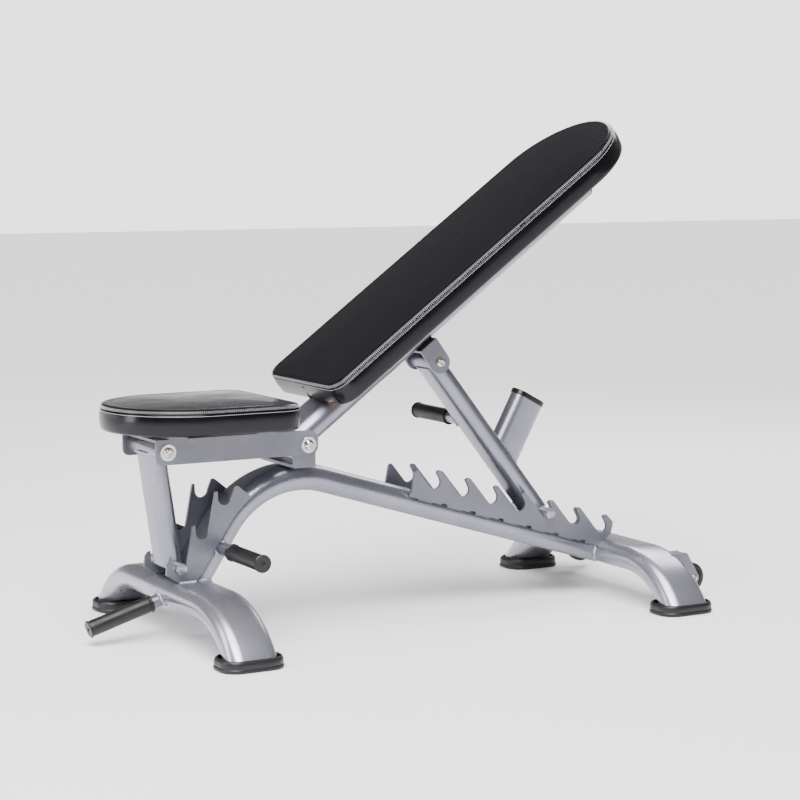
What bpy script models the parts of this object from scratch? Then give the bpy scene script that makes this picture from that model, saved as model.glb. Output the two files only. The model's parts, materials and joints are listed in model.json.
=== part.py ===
"""Adjustable weight bench: a welded frame, a tilting seat and a reclining back on notched ladders.

Units are metres. +Z is up, -X is the front where the lifter's feet go, and the bench is centred on
Y = 0. "Left" is the -Y side and "right" the +Y side. The origin is on the floor, in the middle of
the bench's length and width.
"""
import math

import bmesh
import bpy
from mathutils import Matrix, Vector

# ---- fits -------------------------------------------------------------------------------------
FIT = 0.0003               # gap kept between two pieces that touch
CUT_HALF = 0.30              # half length of a cutter that goes right across
BOLT_PLAY = 0.0006         # a bolt hole's diameter over its bolt
SIDE_PLAY = 0.0005         # gap at each end of a pivot sleeve

# ---- frame tube: flat-oval steel -----------------------------------------------------------------
FRAME_WIDE = 0.100
FRAME_THICK = 0.050
FRAME_WALL = 0.0025
ROUND_SEGMENTS = 6         # facets in each half-round side of a flat-oval tube
TURN_STEPS = 18            # facets round a pin, a sleeve or a hole
WHEEL_STEPS = 24

# ---- overall placing ------------------------------------------------------------------------------
WHEELBASE = 0.9613         # front leg to rear leg
LEG_Z = 0.0895             # centre height of both legs
LEG_BEND = 0.190           # radius of the legs' down-turned ends
LEG_BEND_END = math.radians(62.0)
FRONT_LEG_FLAT = 0.154     # half of the straight stretch of each leg
REAR_LEG_FLAT = 0.143

# ---- rubber boots ---------------------------------------------------------------------------------
BOOT_SOLE = 0.012
BOOT_HEIGHT = 0.030
BOOT_LONG = 0.125
BOOT_WIDE = 0.086
BOOT_CORNER = 0.034
BOOT_INSET = 0.0118        # how far a boot's middle lies inside the leg's end at the sole

# ---- spine ----------------------------------------------------------------------------------------
CROWN_AFTER_FRONT_LEG = 0.236
CROWN_CENTRE_Z = 0.1067
CROWN_RADIUS = 0.185
REAR_SLOPE = math.radians(16.9)
FRONT_RAKE = math.radians(57.0)

# ---- ladders of notches ---------------------------------------------------------------------------
LADDER_PLATE = 0.006
BACK_NOTCHES = 7
BACK_NOTCH_RADIUS = 0.013
BACK_NOTCH_PITCH = 0.0697
BACK_NOTCH_FIRST = 0.2292  # along the slope, from the end of the crown bend
BACK_NOTCH_HEIGHT = 0.0492 # above the spine's centre line
BACK_NOTCH_IN_USE = 5
LADDER_EDGE = 0.0095       # lower edge above the spine's centre line
LADDER_RECESS_DEEP = 0.0035
LADDER_RECESS_LONG = 0.016
LADDER_LEAD = 0.0458         # lower front corner ahead of the first notch
LADDER_TRAIL = 0.0079        # lower rear corner behind the last notch
LADDER_TOE = ((-0.0506, 0.0104), (-0.0460, 0.0150), (-0.0420, 0.0132))  # from the first notch
LADDER_HEEL = ((0.0259, 0.0158), (0.0278, 0.0094), (0.0283, -0.0086), (0.0195, -0.0218))  # from the last
BACK_HOOK_TIP = ((-0.0021, 0.0208), (0.0021, 0.0257), (0.0074, 0.0263))  # from its notch
SEAT_NOTCHES = 3
SEAT_NOTCH_RADIUS = 0.0135
SEAT_NOTCH_AHEAD = 0.028   # first notch ahead of the front leg
SEAT_NOTCH_Z = 0.1455
SEAT_NOTCH_STEP_X = 0.0465
SEAT_NOTCH_STEP_Z = 0.0615
SEAT_LADDER_EDGE = 0.0105    # rear edge ahead of the spine's centre line
SEAT_LADDER_TOE = ((-0.027, -0.0145), (-0.0255, 0.004))  # from the first notch
SEAT_HOOK_TIP = ((-0.0190, 0.0125), (-0.0140, 0.0142))   # from its notch
SEAT_LADDER_HEAD = ((0.0220, 0.0205), (0.0265, 0.0215), (0.0300, 0.0195))  # from the last notch
SEAT_LADDER_HEAD_ANGLE = math.radians(35.5)  # where the rear edge leaves the crown
SEAT_LADDER_FOOT = 0.002     # lower front corner ahead of the first notch

# ---- main pivot -----------------------------------------------------------------------------------
PIVOT_AFTER_FRONT_LEG = 0.229
PIVOT_GAP = 0.0208           # from the crown's top to the back tube's underside
PIVOT_BRACKET_WIDE = 0.145
PIVOT_BRACKET_PLATE = 0.006
PIVOT_BRACKET_LONG = 0.046
PIVOT_BRACKET_ABOVE = 0.0205
BOLT_DIAMETER = 0.012
BOLT_HEAD_DIAMETER = 0.020
BOLT_HEAD_HEIGHT = 0.0065
NUT_DIAMETER = 0.021
NUT_HEIGHT = 0.010
WASHER_DIAMETER = 0.0315
WASHER_THICK = 0.0025
SLEEVE_DIAMETER = 0.034

# ---- seat -----------------------------------------------------------------------------------------
SEAT_BRACKET_WIDE = 0.165
SEAT_BRACKET_PLATE = 0.005
SEAT_BRACKET_FRONT = 0.313 # front end ahead of the main pivot
SEAT_BRACKET_REAR = 0.021  # rear end behind the main pivot
SEAT_BRACKET_BELOW = 0.0195
SEAT_BRACKET_ABOVE = 0.0275
SEAT_TOP_PLATE_STOP = 0.042
SEAT_PAD_WIDE = 0.310
SEAT_PAD_FRONT = 0.379     # front end ahead of the main pivot
SEAT_PAD_REAR = 0.037      # rear end ahead of the main pivot
SEAT_PAD_CORNER = 0.045
PAD_THICK = 0.050
PAD_EDGE = 0.010
MOUNT_PLATE_WIDE = 0.180
MOUNT_PLATE_LONG = 0.040
SEAT_MOUNT_THICK = 0.010
SEAT_MOUNT_FRONT = 0.270     # plate middles ahead of the main pivot
SEAT_MOUNT_REAR = 0.090
BOARD_THICK = 0.012
BOARD_INSET = 0.014

# ---- seat strut -----------------------------------------------------------------------------------
SEAT_STRUT_AHEAD = 0.2895  # pivot ahead of the main pivot
SEAT_STRUT_RISE = 0.004    # pivot above the main pivot
SEAT_CROSSBAR_DIAMETER = 0.021
CROSSBAR_OVERHANG = 0.012  # crossbar past the outer face of each ladder plate
STRUT_WIDE = 0.075
STRUT_THICK = 0.040
STRUT_WALL = 0.0025
SADDLE_SHORT = 0.003       # strut tube's end ahead of the crossbar's centre

# ---- back -----------------------------------------------------------------------------------------
BACK_TILT = math.radians(36.26)
BACK_TUBE_BELOW = 0.020
BACK_TUBE_ABOVE = 0.820
BACK_PAD_START = 0.0844
BACK_PAD_LONG = 0.857
BACK_PAD_WIDE = 0.300
BACK_PAD_CORNER = 0.035
BACK_MOUNT_THICK = 0.0055
BACK_MOUNT_LOWER = 0.190
BACK_MOUNT_UPPER = 0.690
PLUG_FLANGE = 0.003
PLUG_DEPTH = 0.022
STRUT_BRACKET_WIDE = 0.100
STRUT_BRACKET_PLATE = 0.005
STRUT_BRACKET_LONG = 0.044
STRUT_PIVOT_ALONG = 0.3325
STRUT_PIVOT_BELOW = 0.0705

# ---- back strut -----------------------------------------------------------------------------------
BACK_SLEEVE_DIAMETER = 0.035
BACK_CROSSBAR_DIAMETER = 0.022
CROSSBAR_CHAMFER = 0.0015
POST_ALONG = 0.272
POST_ANGLE = math.radians(61.57)
POST_LONG = 0.138
POST_CAP_THICK = 0.008
POST_CAP_PROUD = 0.001
STRUT_HANDLE_ALONG = 0.152
STRUT_HANDLE_OFFSET = 0.0075

# ---- handles --------------------------------------------------------------------------------------
ROD_DIAMETER = 0.025
ROD_WALL = 0.002
GRIP_DIAMETER = 0.030
GRIP_FLANGE_DIAMETER = 0.034
GRIP_FLANGE = 0.004
GRIP_END = 0.003
GRIP_LONG = 0.132
SIDE_HANDLE_ALONG = 0.0703 # up the front rake, from where it meets the top of the leg
SIDE_HANDLE_OFFSET = -0.0027
SIDE_HANDLE_REACH = 0.230
STRUT_HANDLE_REACH = 0.193
FRONT_HANDLE_DROP = math.radians(16.5)
FRONT_HANDLE_START_Z = 0.0829
FRONT_HANDLE_START = 0.020 # the rod's start ahead of the leg's centre
FRONT_HANDLE_LONG = 0.176

# ---- transport wheels -----------------------------------------------------------------------------
WHEEL_RADIUS = 0.031
WHEEL_WIDE = 0.024
WHEEL_BEHIND_LEG = 0.0825
WHEEL_Z = 0.049
WHEEL_SIDE = 0.200
WHEEL_GAP = 0.0015
WHEEL_CHEEK = 0.004
AXLE_DIAMETER = 0.008
AXLE_HEAD_DIAMETER = 0.015
AXLE_HEAD = 0.004

# ---- places worked out from the sizes above -------------------------------------------------------
FRONT_REACH = (FRONT_HANDLE_START + FRONT_HANDLE_LONG * math.cos(FRONT_HANDLE_DROP)
               + GRIP_FLANGE_DIAMETER / 2 * math.sin(FRONT_HANDLE_DROP))
REAR_REACH = WHEELBASE + WHEEL_BEHIND_LEG + WHEEL_RADIUS
FRONT_LEG_X = (FRONT_REACH - REAR_REACH) / 2
REAR_LEG_X = FRONT_LEG_X + WHEELBASE
CROWN_X = FRONT_LEG_X + CROWN_AFTER_FRONT_LEG
PIVOT_X = FRONT_LEG_X + PIVOT_AFTER_FRONT_LEG
LEG_TOP = LEG_Z + FRAME_THICK / 2
CROWN_TOP = CROWN_CENTRE_Z + CROWN_RADIUS + FRAME_THICK / 2
PIVOT_Z = CROWN_TOP + FRAME_THICK / 2 + PIVOT_GAP
PLATE_MIDDLE = FRAME_WIDE / 2 + FIT + LADDER_PLATE / 2
CROSSBAR_HALF = FRAME_WIDE / 2 + FIT + LADDER_PLATE + CROSSBAR_OVERHANG

parts = bpy.data.collections.new("adjustable_weight_bench")
cutters = bpy.data.collections.new("cutters")


# ---- helpers: scene -------------------------------------------------------------------------------
def clear_scene():
    """Remove every object and add the two collections."""
    for old in list(bpy.data.objects):
        bpy.data.objects.remove(old, do_unlink=True)
    bpy.context.scene.collection.children.link(parts)
    bpy.context.scene.collection.children.link(cutters)


def finish(name, colour, roughness, metallic):
    """A Principled material."""
    material = bpy.data.materials.new(name)
    material.use_nodes = True
    shader = material.node_tree.nodes["Principled BSDF"]
    shader.inputs["Base Color"].default_value = (*colour, 1.0)
    shader.inputs["Roughness"].default_value = roughness
    shader.inputs["Metallic"].default_value = metallic
    return material


def add_mesh(name, mesh, matrix, material=None):
    """Put a mesh in the parts collection, or among the cutters if it has no material."""
    piece = bpy.data.objects.new(name, mesh)
    (parts if material else cutters).objects.link(piece)
    piece.matrix_world = matrix
    if material:
        if not mesh.materials:
            mesh.materials.append(material)
    else:
        piece.hide_render = True
        piece.display_type = "WIRE"
    return piece


def smooth(piece):
    """Shade round faces smooth and keep real corners sharp."""
    piece.data.shade_smooth()
    piece.data.set_sharp_from_angle(angle=math.radians(35))
    return piece


def boolean(piece, tool, operation="DIFFERENCE", solver="EXACT"):
    """Cut a piece with a cutter, keep what they share, or join them."""
    modifier = piece.modifiers.new(tool.name, "BOOLEAN")
    modifier.operation = operation
    modifier.solver = solver
    modifier.object = tool
    return piece


def joint_empty(name, place):
    """An empty on a joint's axis."""
    empty = bpy.data.objects.new(name, None)
    parts.objects.link(empty)
    empty.matrix_world = Matrix.Translation(place)
    return empty


def hang_on(empty, *pieces):
    """Parent pieces to an empty and leave them where they are."""
    for piece in pieces:
        piece.parent = empty
        piece.matrix_parent_inverse = empty.matrix_world.inverted()


# ---- helpers: frames in which outlines are drawn --------------------------------------------------
def side_frame(x=0.0, z=0.0, tilt=0.0, y=0.0):
    """Outline X runs along the tilt in the XZ plane, outline Y square to it, upwards."""
    along = Vector((math.cos(tilt), 0.0, math.sin(tilt)))
    up = Vector((-math.sin(tilt), 0.0, math.cos(tilt)))
    across = along.cross(up)
    return frame_of(along, up, across, Vector((x, y, z)))


def frame_of(first, second, third, place):
    """A 4 by 4 matrix from three axes and a place."""
    matrix = Matrix((first, second, third)).transposed().to_4x4()
    matrix.translation = place
    return matrix


def cross_frame(x):
    """Outline X runs along world Y and outline Y along world Z: a leg's own plane."""
    return frame_of(Vector((0, 1, 0)), Vector((0, 0, 1)), Vector((1, 0, 0)), Vector((x, 0, 0)))


def pad_frame(x, z, tilt, lift):
    """Outline X runs along a pad, outline Y across it, and the third axis is the pad's own up."""
    along = Vector((math.cos(tilt), 0.0, math.sin(tilt)))
    up = Vector((-math.sin(tilt), 0.0, math.cos(tilt)))
    place = Vector((x, 0, z)) + up * lift
    return frame_of(along, Vector((0, 1, 0)), up, place)


# ---- helpers: shapes ------------------------------------------------------------------------------
def arc(x, y, radius, start, end, steps):
    """Points on an arc, with the angles in degrees."""
    points = []
    for step in range(steps + 1):
        angle = math.radians(start + (end - start) * step / steps)
        points.append((x + radius * math.cos(angle), y + radius * math.sin(angle)))
    return points


def rounded_box(x0, x1, y0, y1, radii, steps=4):
    """A box outline with its own radius at each corner: lower left, lower right, upper right, upper left."""
    corners = ((x0, y0, 1, 1, 180), (x1, y0, -1, 1, 270), (x1, y1, -1, -1, 0), (x0, y1, 1, -1, 90))
    points = []
    for (x, y, inward_x, inward_y, start), radius in zip(corners, radii):
        if radius == 0:
            points.append((x, y))
            continue
        points += arc(x + inward_x * radius, y + inward_y * radius, radius, start, start + 90, steps)
    return points


def flat_oval(thick, wide, steps=ROUND_SEGMENTS):
    """A flat-oval section, thick along X and wide along Y, wound so that a swept skin faces out."""
    radius = thick / 2
    straight = wide / 2 - radius
    upper = arc(0, straight, radius, 180, 0, steps)
    lower = arc(0, -straight, radius, 0, -180, steps)
    return upper + lower


def curve_object(name, loops, cyclic=True):
    """A flat poly curve with one spline for each loop."""
    curve = bpy.data.curves.new(name, "CURVE")
    curve.dimensions = "2D"
    for loop in loops:
        spline = curve.splines.new("POLY")
        spline.points.add(len(loop) - 1)
        for point, place in zip(spline.points, loop):
            point.co = (place[0], place[1], 0.0, 1.0)
        spline.use_cyclic_u = cyclic
    item = bpy.data.objects.new(name, curve)
    cutters.objects.link(item)
    return item


def curve_to_mesh(item):
    """Turn an evaluated curve into a welded mesh and remove the curve."""
    bpy.context.view_layer.update()
    graph = bpy.context.evaluated_depsgraph_get()
    mesh = bpy.data.meshes.new_from_object(item.evaluated_get(graph))
    solid = bmesh.new()
    solid.from_mesh(mesh)
    bmesh.ops.remove_doubles(solid, verts=solid.verts, dist=1e-6)
    solid.to_mesh(mesh)
    solid.free()
    curve = item.data
    bpy.data.objects.remove(item, do_unlink=True)
    bpy.data.curves.remove(curve)
    mesh.materials.clear()
    return mesh


def plate_mesh(name, loops, thick):
    """A flat outline, with any holes as further loops, given a thickness about its own plane."""
    item = curve_object(name, loops)
    item.data.fill_mode = "BOTH"
    item.data.extrude = thick / 2
    return curve_to_mesh(item)


def swept_mesh(name, path, section, capped):
    """A section swept along a flat path."""
    profile = curve_object(name + "_section", [section])
    item = curve_object(name, [path], cyclic=False)
    item.data.bevel_mode = "OBJECT"
    item.data.bevel_object = profile
    item.data.use_fill_caps = capped
    mesh = curve_to_mesh(item)
    curve = profile.data
    bpy.data.objects.remove(profile, do_unlink=True)
    bpy.data.curves.remove(curve)
    return mesh


def oval_tube(name, path, matrix, thick, wide, wall, material):
    """A hollow flat-oval tube along a path, open at both ends."""
    mesh = swept_mesh(name, path, flat_oval(thick, wide), capped=False)
    tube = add_mesh(name, mesh, matrix, material)
    shell = tube.modifiers.new("wall", "SOLIDIFY")
    shell.thickness = wall
    shell.offset = -1.0
    return smooth(tube)


def oval_cutter(name, path, matrix, thick, wide):
    """The same run of tube as a solid, larger all round by the fit."""
    mesh = swept_mesh(name, path, flat_oval(thick + 2 * FIT, wide + 2 * FIT), capped=True)
    return add_mesh(name, mesh, matrix)


def turned(name, profile, matrix, material=None, steps=TURN_STEPS, closed=False):
    """A profile of (radius, height) points, down the outer side, turned about the frame's third axis."""
    mesh = bpy.data.meshes.new(name)
    edges = [(index, index + 1) for index in range(len(profile) - 1)]
    if closed:
        edges.append((len(profile) - 1, 0))
    mesh.from_pydata([(radius, 0.0, height) for radius, height in profile], edges, [])
    piece = add_mesh(name, mesh, matrix, material)
    screw = piece.modifiers.new("turn", "SCREW")
    screw.steps = steps
    screw.render_steps = steps
    screw.use_merge_vertices = True
    screw.merge_threshold = 0.00005
    screw.use_smooth_shade = True
    return piece


def across(x, y, z):
    """A frame whose third axis runs along +Y: pins, sleeves, wheels and rods."""
    return frame_of(Vector((1, 0, 0)), Vector((0, 0, -1)), Vector((0, 1, 0)), Vector((x, y, z)))


def disc_profile(radius, low, high):
    """Profile of a solid cylinder."""
    return [(0.0, high), (radius, high), (radius, low), (0.0, low)]


def ring_profile(outer, inner, low, high):
    """Profile of a ring or a sleeve."""
    return [(outer, high), (outer, low), (inner, low), (inner, high)]


def rod_cutter(name, x, z, diameter):
    """A round cutter along Y."""
    return turned(name, disc_profile(diameter / 2, -CUT_HALF, CUT_HALF), across(x, 0.0, z))


def box_cutter(name, x0, x1, y0, y1, z0, z1, matrix=None):
    """A box cutter, in a frame of its own if one is given."""
    mesh = bpy.data.meshes.new(name)
    solid = bmesh.new()
    bmesh.ops.create_cube(solid, size=1.0)
    for vertex in solid.verts:
        vertex.co.x = (x0 + x1) / 2 + vertex.co.x * (x1 - x0)
        vertex.co.y = (y0 + y1) / 2 + vertex.co.y * (y1 - y0)
        vertex.co.z = (z0 + z1) / 2 + vertex.co.z * (z1 - z0)
    solid.to_mesh(mesh)
    solid.free()
    return add_mesh(name, mesh, matrix or Matrix.Identity(4))


def channel(name, outline, matrix, wide, plate, floor_side, material):
    """A folded U plate: a side outline across the full width, hollowed between its two flanges."""
    body = add_mesh(name, plate_mesh(name, [outline], wide), matrix, material)
    xs = [point[0] for point in outline]
    ys = [point[1] for point in outline]
    margin = 0.02
    if floor_side == "below":
        low, high = min(ys) + plate, max(ys) + margin
    else:
        low, high = min(ys) - margin, max(ys) - plate
    inner = wide / 2 - plate
    hollow = box_cutter(name + "_hollow", min(xs) - margin, max(xs) + margin, low, high, -inner, inner, matrix)
    return boolean(body, hollow)


# ---- legs and boots -------------------------------------------------------------------------------
def leg_path(flat):
    """One leg's centre line in its own plane: flat, with both ends bent down to the floor."""
    centre = LEG_Z - LEG_BEND
    end = math.degrees(LEG_BEND_END)
    left = arc(-flat, centre, LEG_BEND, 90 + end, 90, 7)
    right = arc(flat, centre, LEG_BEND, 90, 90 - end, 7)
    return left + right


def leg_reach(flat, height):
    """How far out a leg's centre line is where it passes a height."""
    return flat + math.sqrt(LEG_BEND ** 2 - (height - LEG_Z + LEG_BEND) ** 2)


def build_leg(name, x, flat, steel, rubber):
    """A leg, its cutter and its two boots."""
    path = leg_path(flat)
    matrix = cross_frame(x)
    leg = oval_tube(name + "_tube", path, matrix, FRAME_THICK, FRAME_WIDE, FRAME_WALL, steel)
    solid = oval_cutter(name + "_solid", path, matrix, FRAME_THICK, FRAME_WIDE)
    ground = box_cutter(name + "_ground", x - 0.1, x + 0.1, -0.45, 0.45, -0.1, BOOT_SOLE + FIT)
    boolean(leg, ground)
    middle = leg_reach(flat, BOOT_SOLE) - BOOT_INSET
    above = box_cutter(name + "_above_sole", x - 0.1, x + 0.1, -0.45, 0.45, BOOT_SOLE, 0.2)
    socket = oval_cutter(name + "_socket", path, matrix, FRAME_THICK, FRAME_WIDE)
    boolean(socket, above, "INTERSECT")
    for side, sign in (("left", -1), ("right", 1)):
        half_long = BOOT_LONG / 2
        half_wide = BOOT_WIDE / 2
        outline = rounded_box(-half_long, half_long, -half_wide, half_wide, [BOOT_CORNER] * 4, steps=4)
        place = Matrix.Translation((x, sign * middle, BOOT_HEIGHT / 2))
        mesh = plate_mesh(f"{name}_boot_{side}", [outline], BOOT_HEIGHT)
        boot = add_mesh(f"{name}_boot_{side}", mesh, place, rubber)
        edge = boot.modifiers.new("edge", "BEVEL")
        edge.width = 0.003
        edge.segments = 1
        edge.limit_method = "ANGLE"
        edge.angle_limit = math.radians(60)
        boolean(boot, socket)
    return leg, solid


# ---- spine ----------------------------------------------------------------------------------------
def crown_point(angle, offset=0.0):
    """A point on the crown bend, at a slope angle and an offset outwards."""
    radius = CROWN_RADIUS + offset
    return CROWN_X - radius * math.sin(angle), CROWN_CENTRE_Z + radius * math.cos(angle)


def rake_point(height, offset=0.0):
    """A point on the spine's front rake at a height, offset to its front."""
    x, z = crown_point(FRONT_RAKE, offset)
    return x - (z - height) / math.tan(FRONT_RAKE), height


SLOPE_START = crown_point(-REAR_SLOPE)
SLOPE_FRAME = side_frame(SLOPE_START[0], SLOPE_START[1], -REAR_SLOPE)
SLOPE_ALONG = Vector((math.cos(REAR_SLOPE), -math.sin(REAR_SLOPE)))
SLOPE_UP = Vector((math.sin(REAR_SLOPE), math.cos(REAR_SLOPE)))


def spine_path():
    """The spine's centre line from the front leg, over the crown, to the rear leg."""
    front = math.degrees(FRONT_RAKE)
    rear = -math.degrees(REAR_SLOPE)
    crown = arc(CROWN_X, CROWN_CENTRE_Z, CROWN_RADIUS, 90 + front, 90 + rear, 11)
    length = (REAR_LEG_X - FRAME_THICK / 2 - SLOPE_START[0]) / math.cos(REAR_SLOPE)
    end = Vector(SLOPE_START) + SLOPE_ALONG * length
    return [rake_point(LEG_Z)] + crown + [tuple(end)]


# ---- ladder plates --------------------------------------------------------------------------------
def back_notch(index):
    """Centre of a back notch in the slope frame."""
    return BACK_NOTCH_FIRST + (index - 1) * BACK_NOTCH_PITCH, BACK_NOTCH_HEIGHT


def back_ladder_outline():
    """Seven hooks over seven notches, in the slope frame."""
    radius = BACK_NOTCH_RADIUS
    first = back_notch(1)
    last = back_notch(BACK_NOTCHES)
    points = [(first[0] - LADDER_LEAD, LADDER_EDGE)]
    points += [(first[0] + step_s, first[1] + step_h) for step_s, step_h in LADDER_TOE]
    for index in range(1, BACK_NOTCHES + 1):
        s, h = back_notch(index)
        points += arc(s, h, radius, -124.4, 44.7, 9)
        points += [(s + step_s, h + step_h) for step_s, step_h in BACK_HOOK_TIP]
    points += [(last[0] + step_s, last[1] + step_h) for step_s, step_h in LADDER_HEEL]
    points.append((last[0] + LADDER_TRAIL, LADDER_EDGE))
    half = LADDER_RECESS_LONG / 2
    for index in range(BACK_NOTCHES - 1, 0, -1):
        middle = back_notch(index)[0] + BACK_NOTCH_PITCH / 2
        points.append((middle + half, LADDER_EDGE))
        points.append((middle + half * 0.7, LADDER_EDGE + LADDER_RECESS_DEEP))
        points.append((middle - half * 0.7, LADDER_EDGE + LADDER_RECESS_DEEP))
        points.append((middle - half, LADDER_EDGE))
    return points


def seat_notch(index):
    """Centre of a seat notch in world X and Z."""
    x = FRONT_LEG_X - SEAT_NOTCH_AHEAD + (index - 1) * SEAT_NOTCH_STEP_X
    return x, SEAT_NOTCH_Z + (index - 1) * SEAT_NOTCH_STEP_Z


def seat_ladder_outline():
    """Three upright notches stepping up the spine's front rake, in world X and Z."""
    radius = SEAT_NOTCH_RADIUS
    bottom = LEG_TOP + FIT
    first = seat_notch(1)
    last = seat_notch(SEAT_NOTCHES)
    points = [rake_point(bottom, SEAT_LADDER_EDGE), (first[0] - SEAT_LADDER_FOOT, bottom)]
    points += [(first[0] + step_x, first[1] + step_z) for step_x, step_z in SEAT_LADDER_TOE]
    for index in range(1, SEAT_NOTCHES + 1):
        x, z = seat_notch(index)
        points += [(x + step_x, z + step_z) for step_x, step_z in SEAT_HOOK_TIP]
        points += arc(x, z, radius, 180, 360, 8)
    points += [(last[0] + step_x, last[1] + step_z) for step_x, step_z in SEAT_LADDER_HEAD]
    for step in range(7):
        angle = SEAT_LADDER_HEAD_ANGLE + (FRONT_RAKE - SEAT_LADDER_HEAD_ANGLE) * step / 6
        points.append(crown_point(angle, SEAT_LADDER_EDGE))
    return points


def build_ladders(steel, rear_solid):
    """Both pairs of ladder plates; the back pair is trimmed where it meets the rear leg."""
    back = plate_mesh("back_ladder_plate", [back_ladder_outline()], LADDER_PLATE)
    seat = plate_mesh("seat_ladder_plate", [seat_ladder_outline()], LADDER_PLATE)
    for side, sign in (("left", -1), ("right", 1)):
        shift = Matrix.Translation((0, sign * PLATE_MIDDLE, 0))
        ladder = smooth(add_mesh(f"back_ladder_plate_{side}", back, shift @ SLOPE_FRAME, steel))
        boolean(ladder, rear_solid, solver="MANIFOLD")
        smooth(add_mesh(f"seat_ladder_plate_{side}", seat, shift @ side_frame(), steel))


# ---- handles --------------------------------------------------------------------------------------
def build_handle(name, matrix, start, reach, host, steel, rubber):
    """A round rod from a host tube, with a ribbed grip over its outer end, along the third axis."""
    rod_end = reach - GRIP_END - FIT
    outer = ROD_DIAMETER / 2
    rod = turned(f"{name}_tube", ring_profile(outer, outer - ROD_WALL, start, rod_end), matrix, steel,
                 closed=True)
    boolean(rod, host)
    bore = outer + FIT
    grip = GRIP_DIAMETER / 2
    flange = GRIP_FLANGE_DIAMETER / 2
    base = reach - GRIP_LONG
    profile = [(0.0, reach), (flange, reach), (flange, reach - GRIP_FLANGE), (grip, reach - GRIP_FLANGE)]
    profile += [(grip, base + GRIP_FLANGE), (flange, base + GRIP_FLANGE), (flange, base), (bore, base)]
    profile += [(bore, reach - GRIP_END), (0.0, reach - GRIP_END)]
    sleeve = turned(f"{name}_grip", profile, matrix, rubber)
    return rod, sleeve


# ---- fasteners ------------------------------------------------------------------------------------
def build_bolt(name, x, z, outer, washers, steel):
    """A button-head bolt along Y from the left, its nut on the right, and washers if asked."""
    stack = outer + FIT
    pieces = []
    if washers:
        for side, low in (("left", -stack - WASHER_THICK), ("right", stack)):
            profile = ring_profile(WASHER_DIAMETER / 2, BOLT_DIAMETER / 2 + FIT, low, low + WASHER_THICK)
            pieces.append(turned(f"{name}_washer_{side}", profile, across(x, 0, z), steel, closed=True))
        stack += WASHER_THICK + FIT
    shank = BOLT_DIAMETER / 2
    head = BOLT_HEAD_DIAMETER / 2
    nut = NUT_DIAMETER / 2
    tip = stack + NUT_HEIGHT + 0.002
    base = -stack
    profile = [(0.0, tip), (shank, tip), (shank, base), (head, base), (head, base - 0.3 * BOLT_HEAD_HEIGHT)]
    profile += [(0.72 * head, base - BOLT_HEAD_HEIGHT), (0.0, base - BOLT_HEAD_HEIGHT)]
    pieces.append(turned(f"{name}_bolt", profile, across(x, 0, z), steel))
    hexagon = arc(0, 0, nut, 0, 300, 5)
    bore = arc(0, 0, shank + FIT, 0, 330, 11)
    mesh = plate_mesh(f"{name}_nut", [hexagon, bore], NUT_HEIGHT)
    place = across(x, stack + NUT_HEIGHT / 2, z)
    pieces.append(add_mesh(f"{name}_nut", mesh, place, steel))
    return pieces


def sleeve_piece(name, x, z, diameter, half, steel):
    """A pivot sleeve along Y, bored for its bolt."""
    profile = ring_profile(diameter / 2, (BOLT_DIAMETER + BOLT_PLAY) / 2, -half, half)
    return turned(name, profile, across(x, 0, z), steel, closed=True)


# ---- struts ---------------------------------------------------------------------------------------
def build_strut(name, pivot, foot, sleeve_diameter, sleeve_half, bar_diameter, steel, bright):
    """A strut with a sleeve at its pivot and a crossbar at its foot."""
    run = Vector((foot[0] - pivot[0], foot[1] - pivot[1]))
    angle = math.atan2(run.y, run.x)
    frame = side_frame(pivot[0], pivot[1], angle)
    path = [(SADDLE_SHORT, 0.0), (run.length - SADDLE_SHORT, 0.0)]
    tube = oval_tube(f"{name}_tube", path, frame, STRUT_THICK, STRUT_WIDE, STRUT_WALL, steel)
    boolean(tube, rod_cutter(f"{name}_sleeve_space", *pivot, sleeve_diameter + 2 * FIT))
    boolean(tube, rod_cutter(f"{name}_crossbar_space", *foot, bar_diameter + 2 * FIT))
    sleeve = sleeve_piece(f"{name}_sleeve", *pivot, sleeve_diameter, sleeve_half, steel)
    chamfer = CROSSBAR_CHAMFER
    radius = bar_diameter / 2
    profile = [(0.0, CROSSBAR_HALF), (radius - chamfer, CROSSBAR_HALF), (radius, CROSSBAR_HALF - chamfer)]
    profile += [(radius, -CROSSBAR_HALF + chamfer), (radius - chamfer, -CROSSBAR_HALF), (0.0, -CROSSBAR_HALF)]
    bar = turned(f"{name}_crossbar", profile, across(foot[0], 0, foot[1]), bright)
    return frame, run, (tube, sleeve, bar)


# ---- pads -----------------------------------------------------------------------------------------
def pad_outline(rear, front, wide, corner, inset=0.0):
    """A pad's plan: square with round corners at the rear value, a half circle at the front value."""
    towards = 1 if front > rear else -1
    half = wide / 2
    radius = corner - inset
    centre = front - towards * half
    inner = rear + towards * corner
    turn = 0 if towards > 0 else 180
    nose = arc(centre, 0, half - inset, turn - 90, turn + 90, 14)
    first = arc(inner, towards * (half - corner), radius, turn + 90, turn + 180, 4)
    second = arc(inner, -towards * (half - corner), radius, turn + 180, turn + 270, 4)
    return nose + first + [(rear + towards * inset, 0.0)] + second


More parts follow.
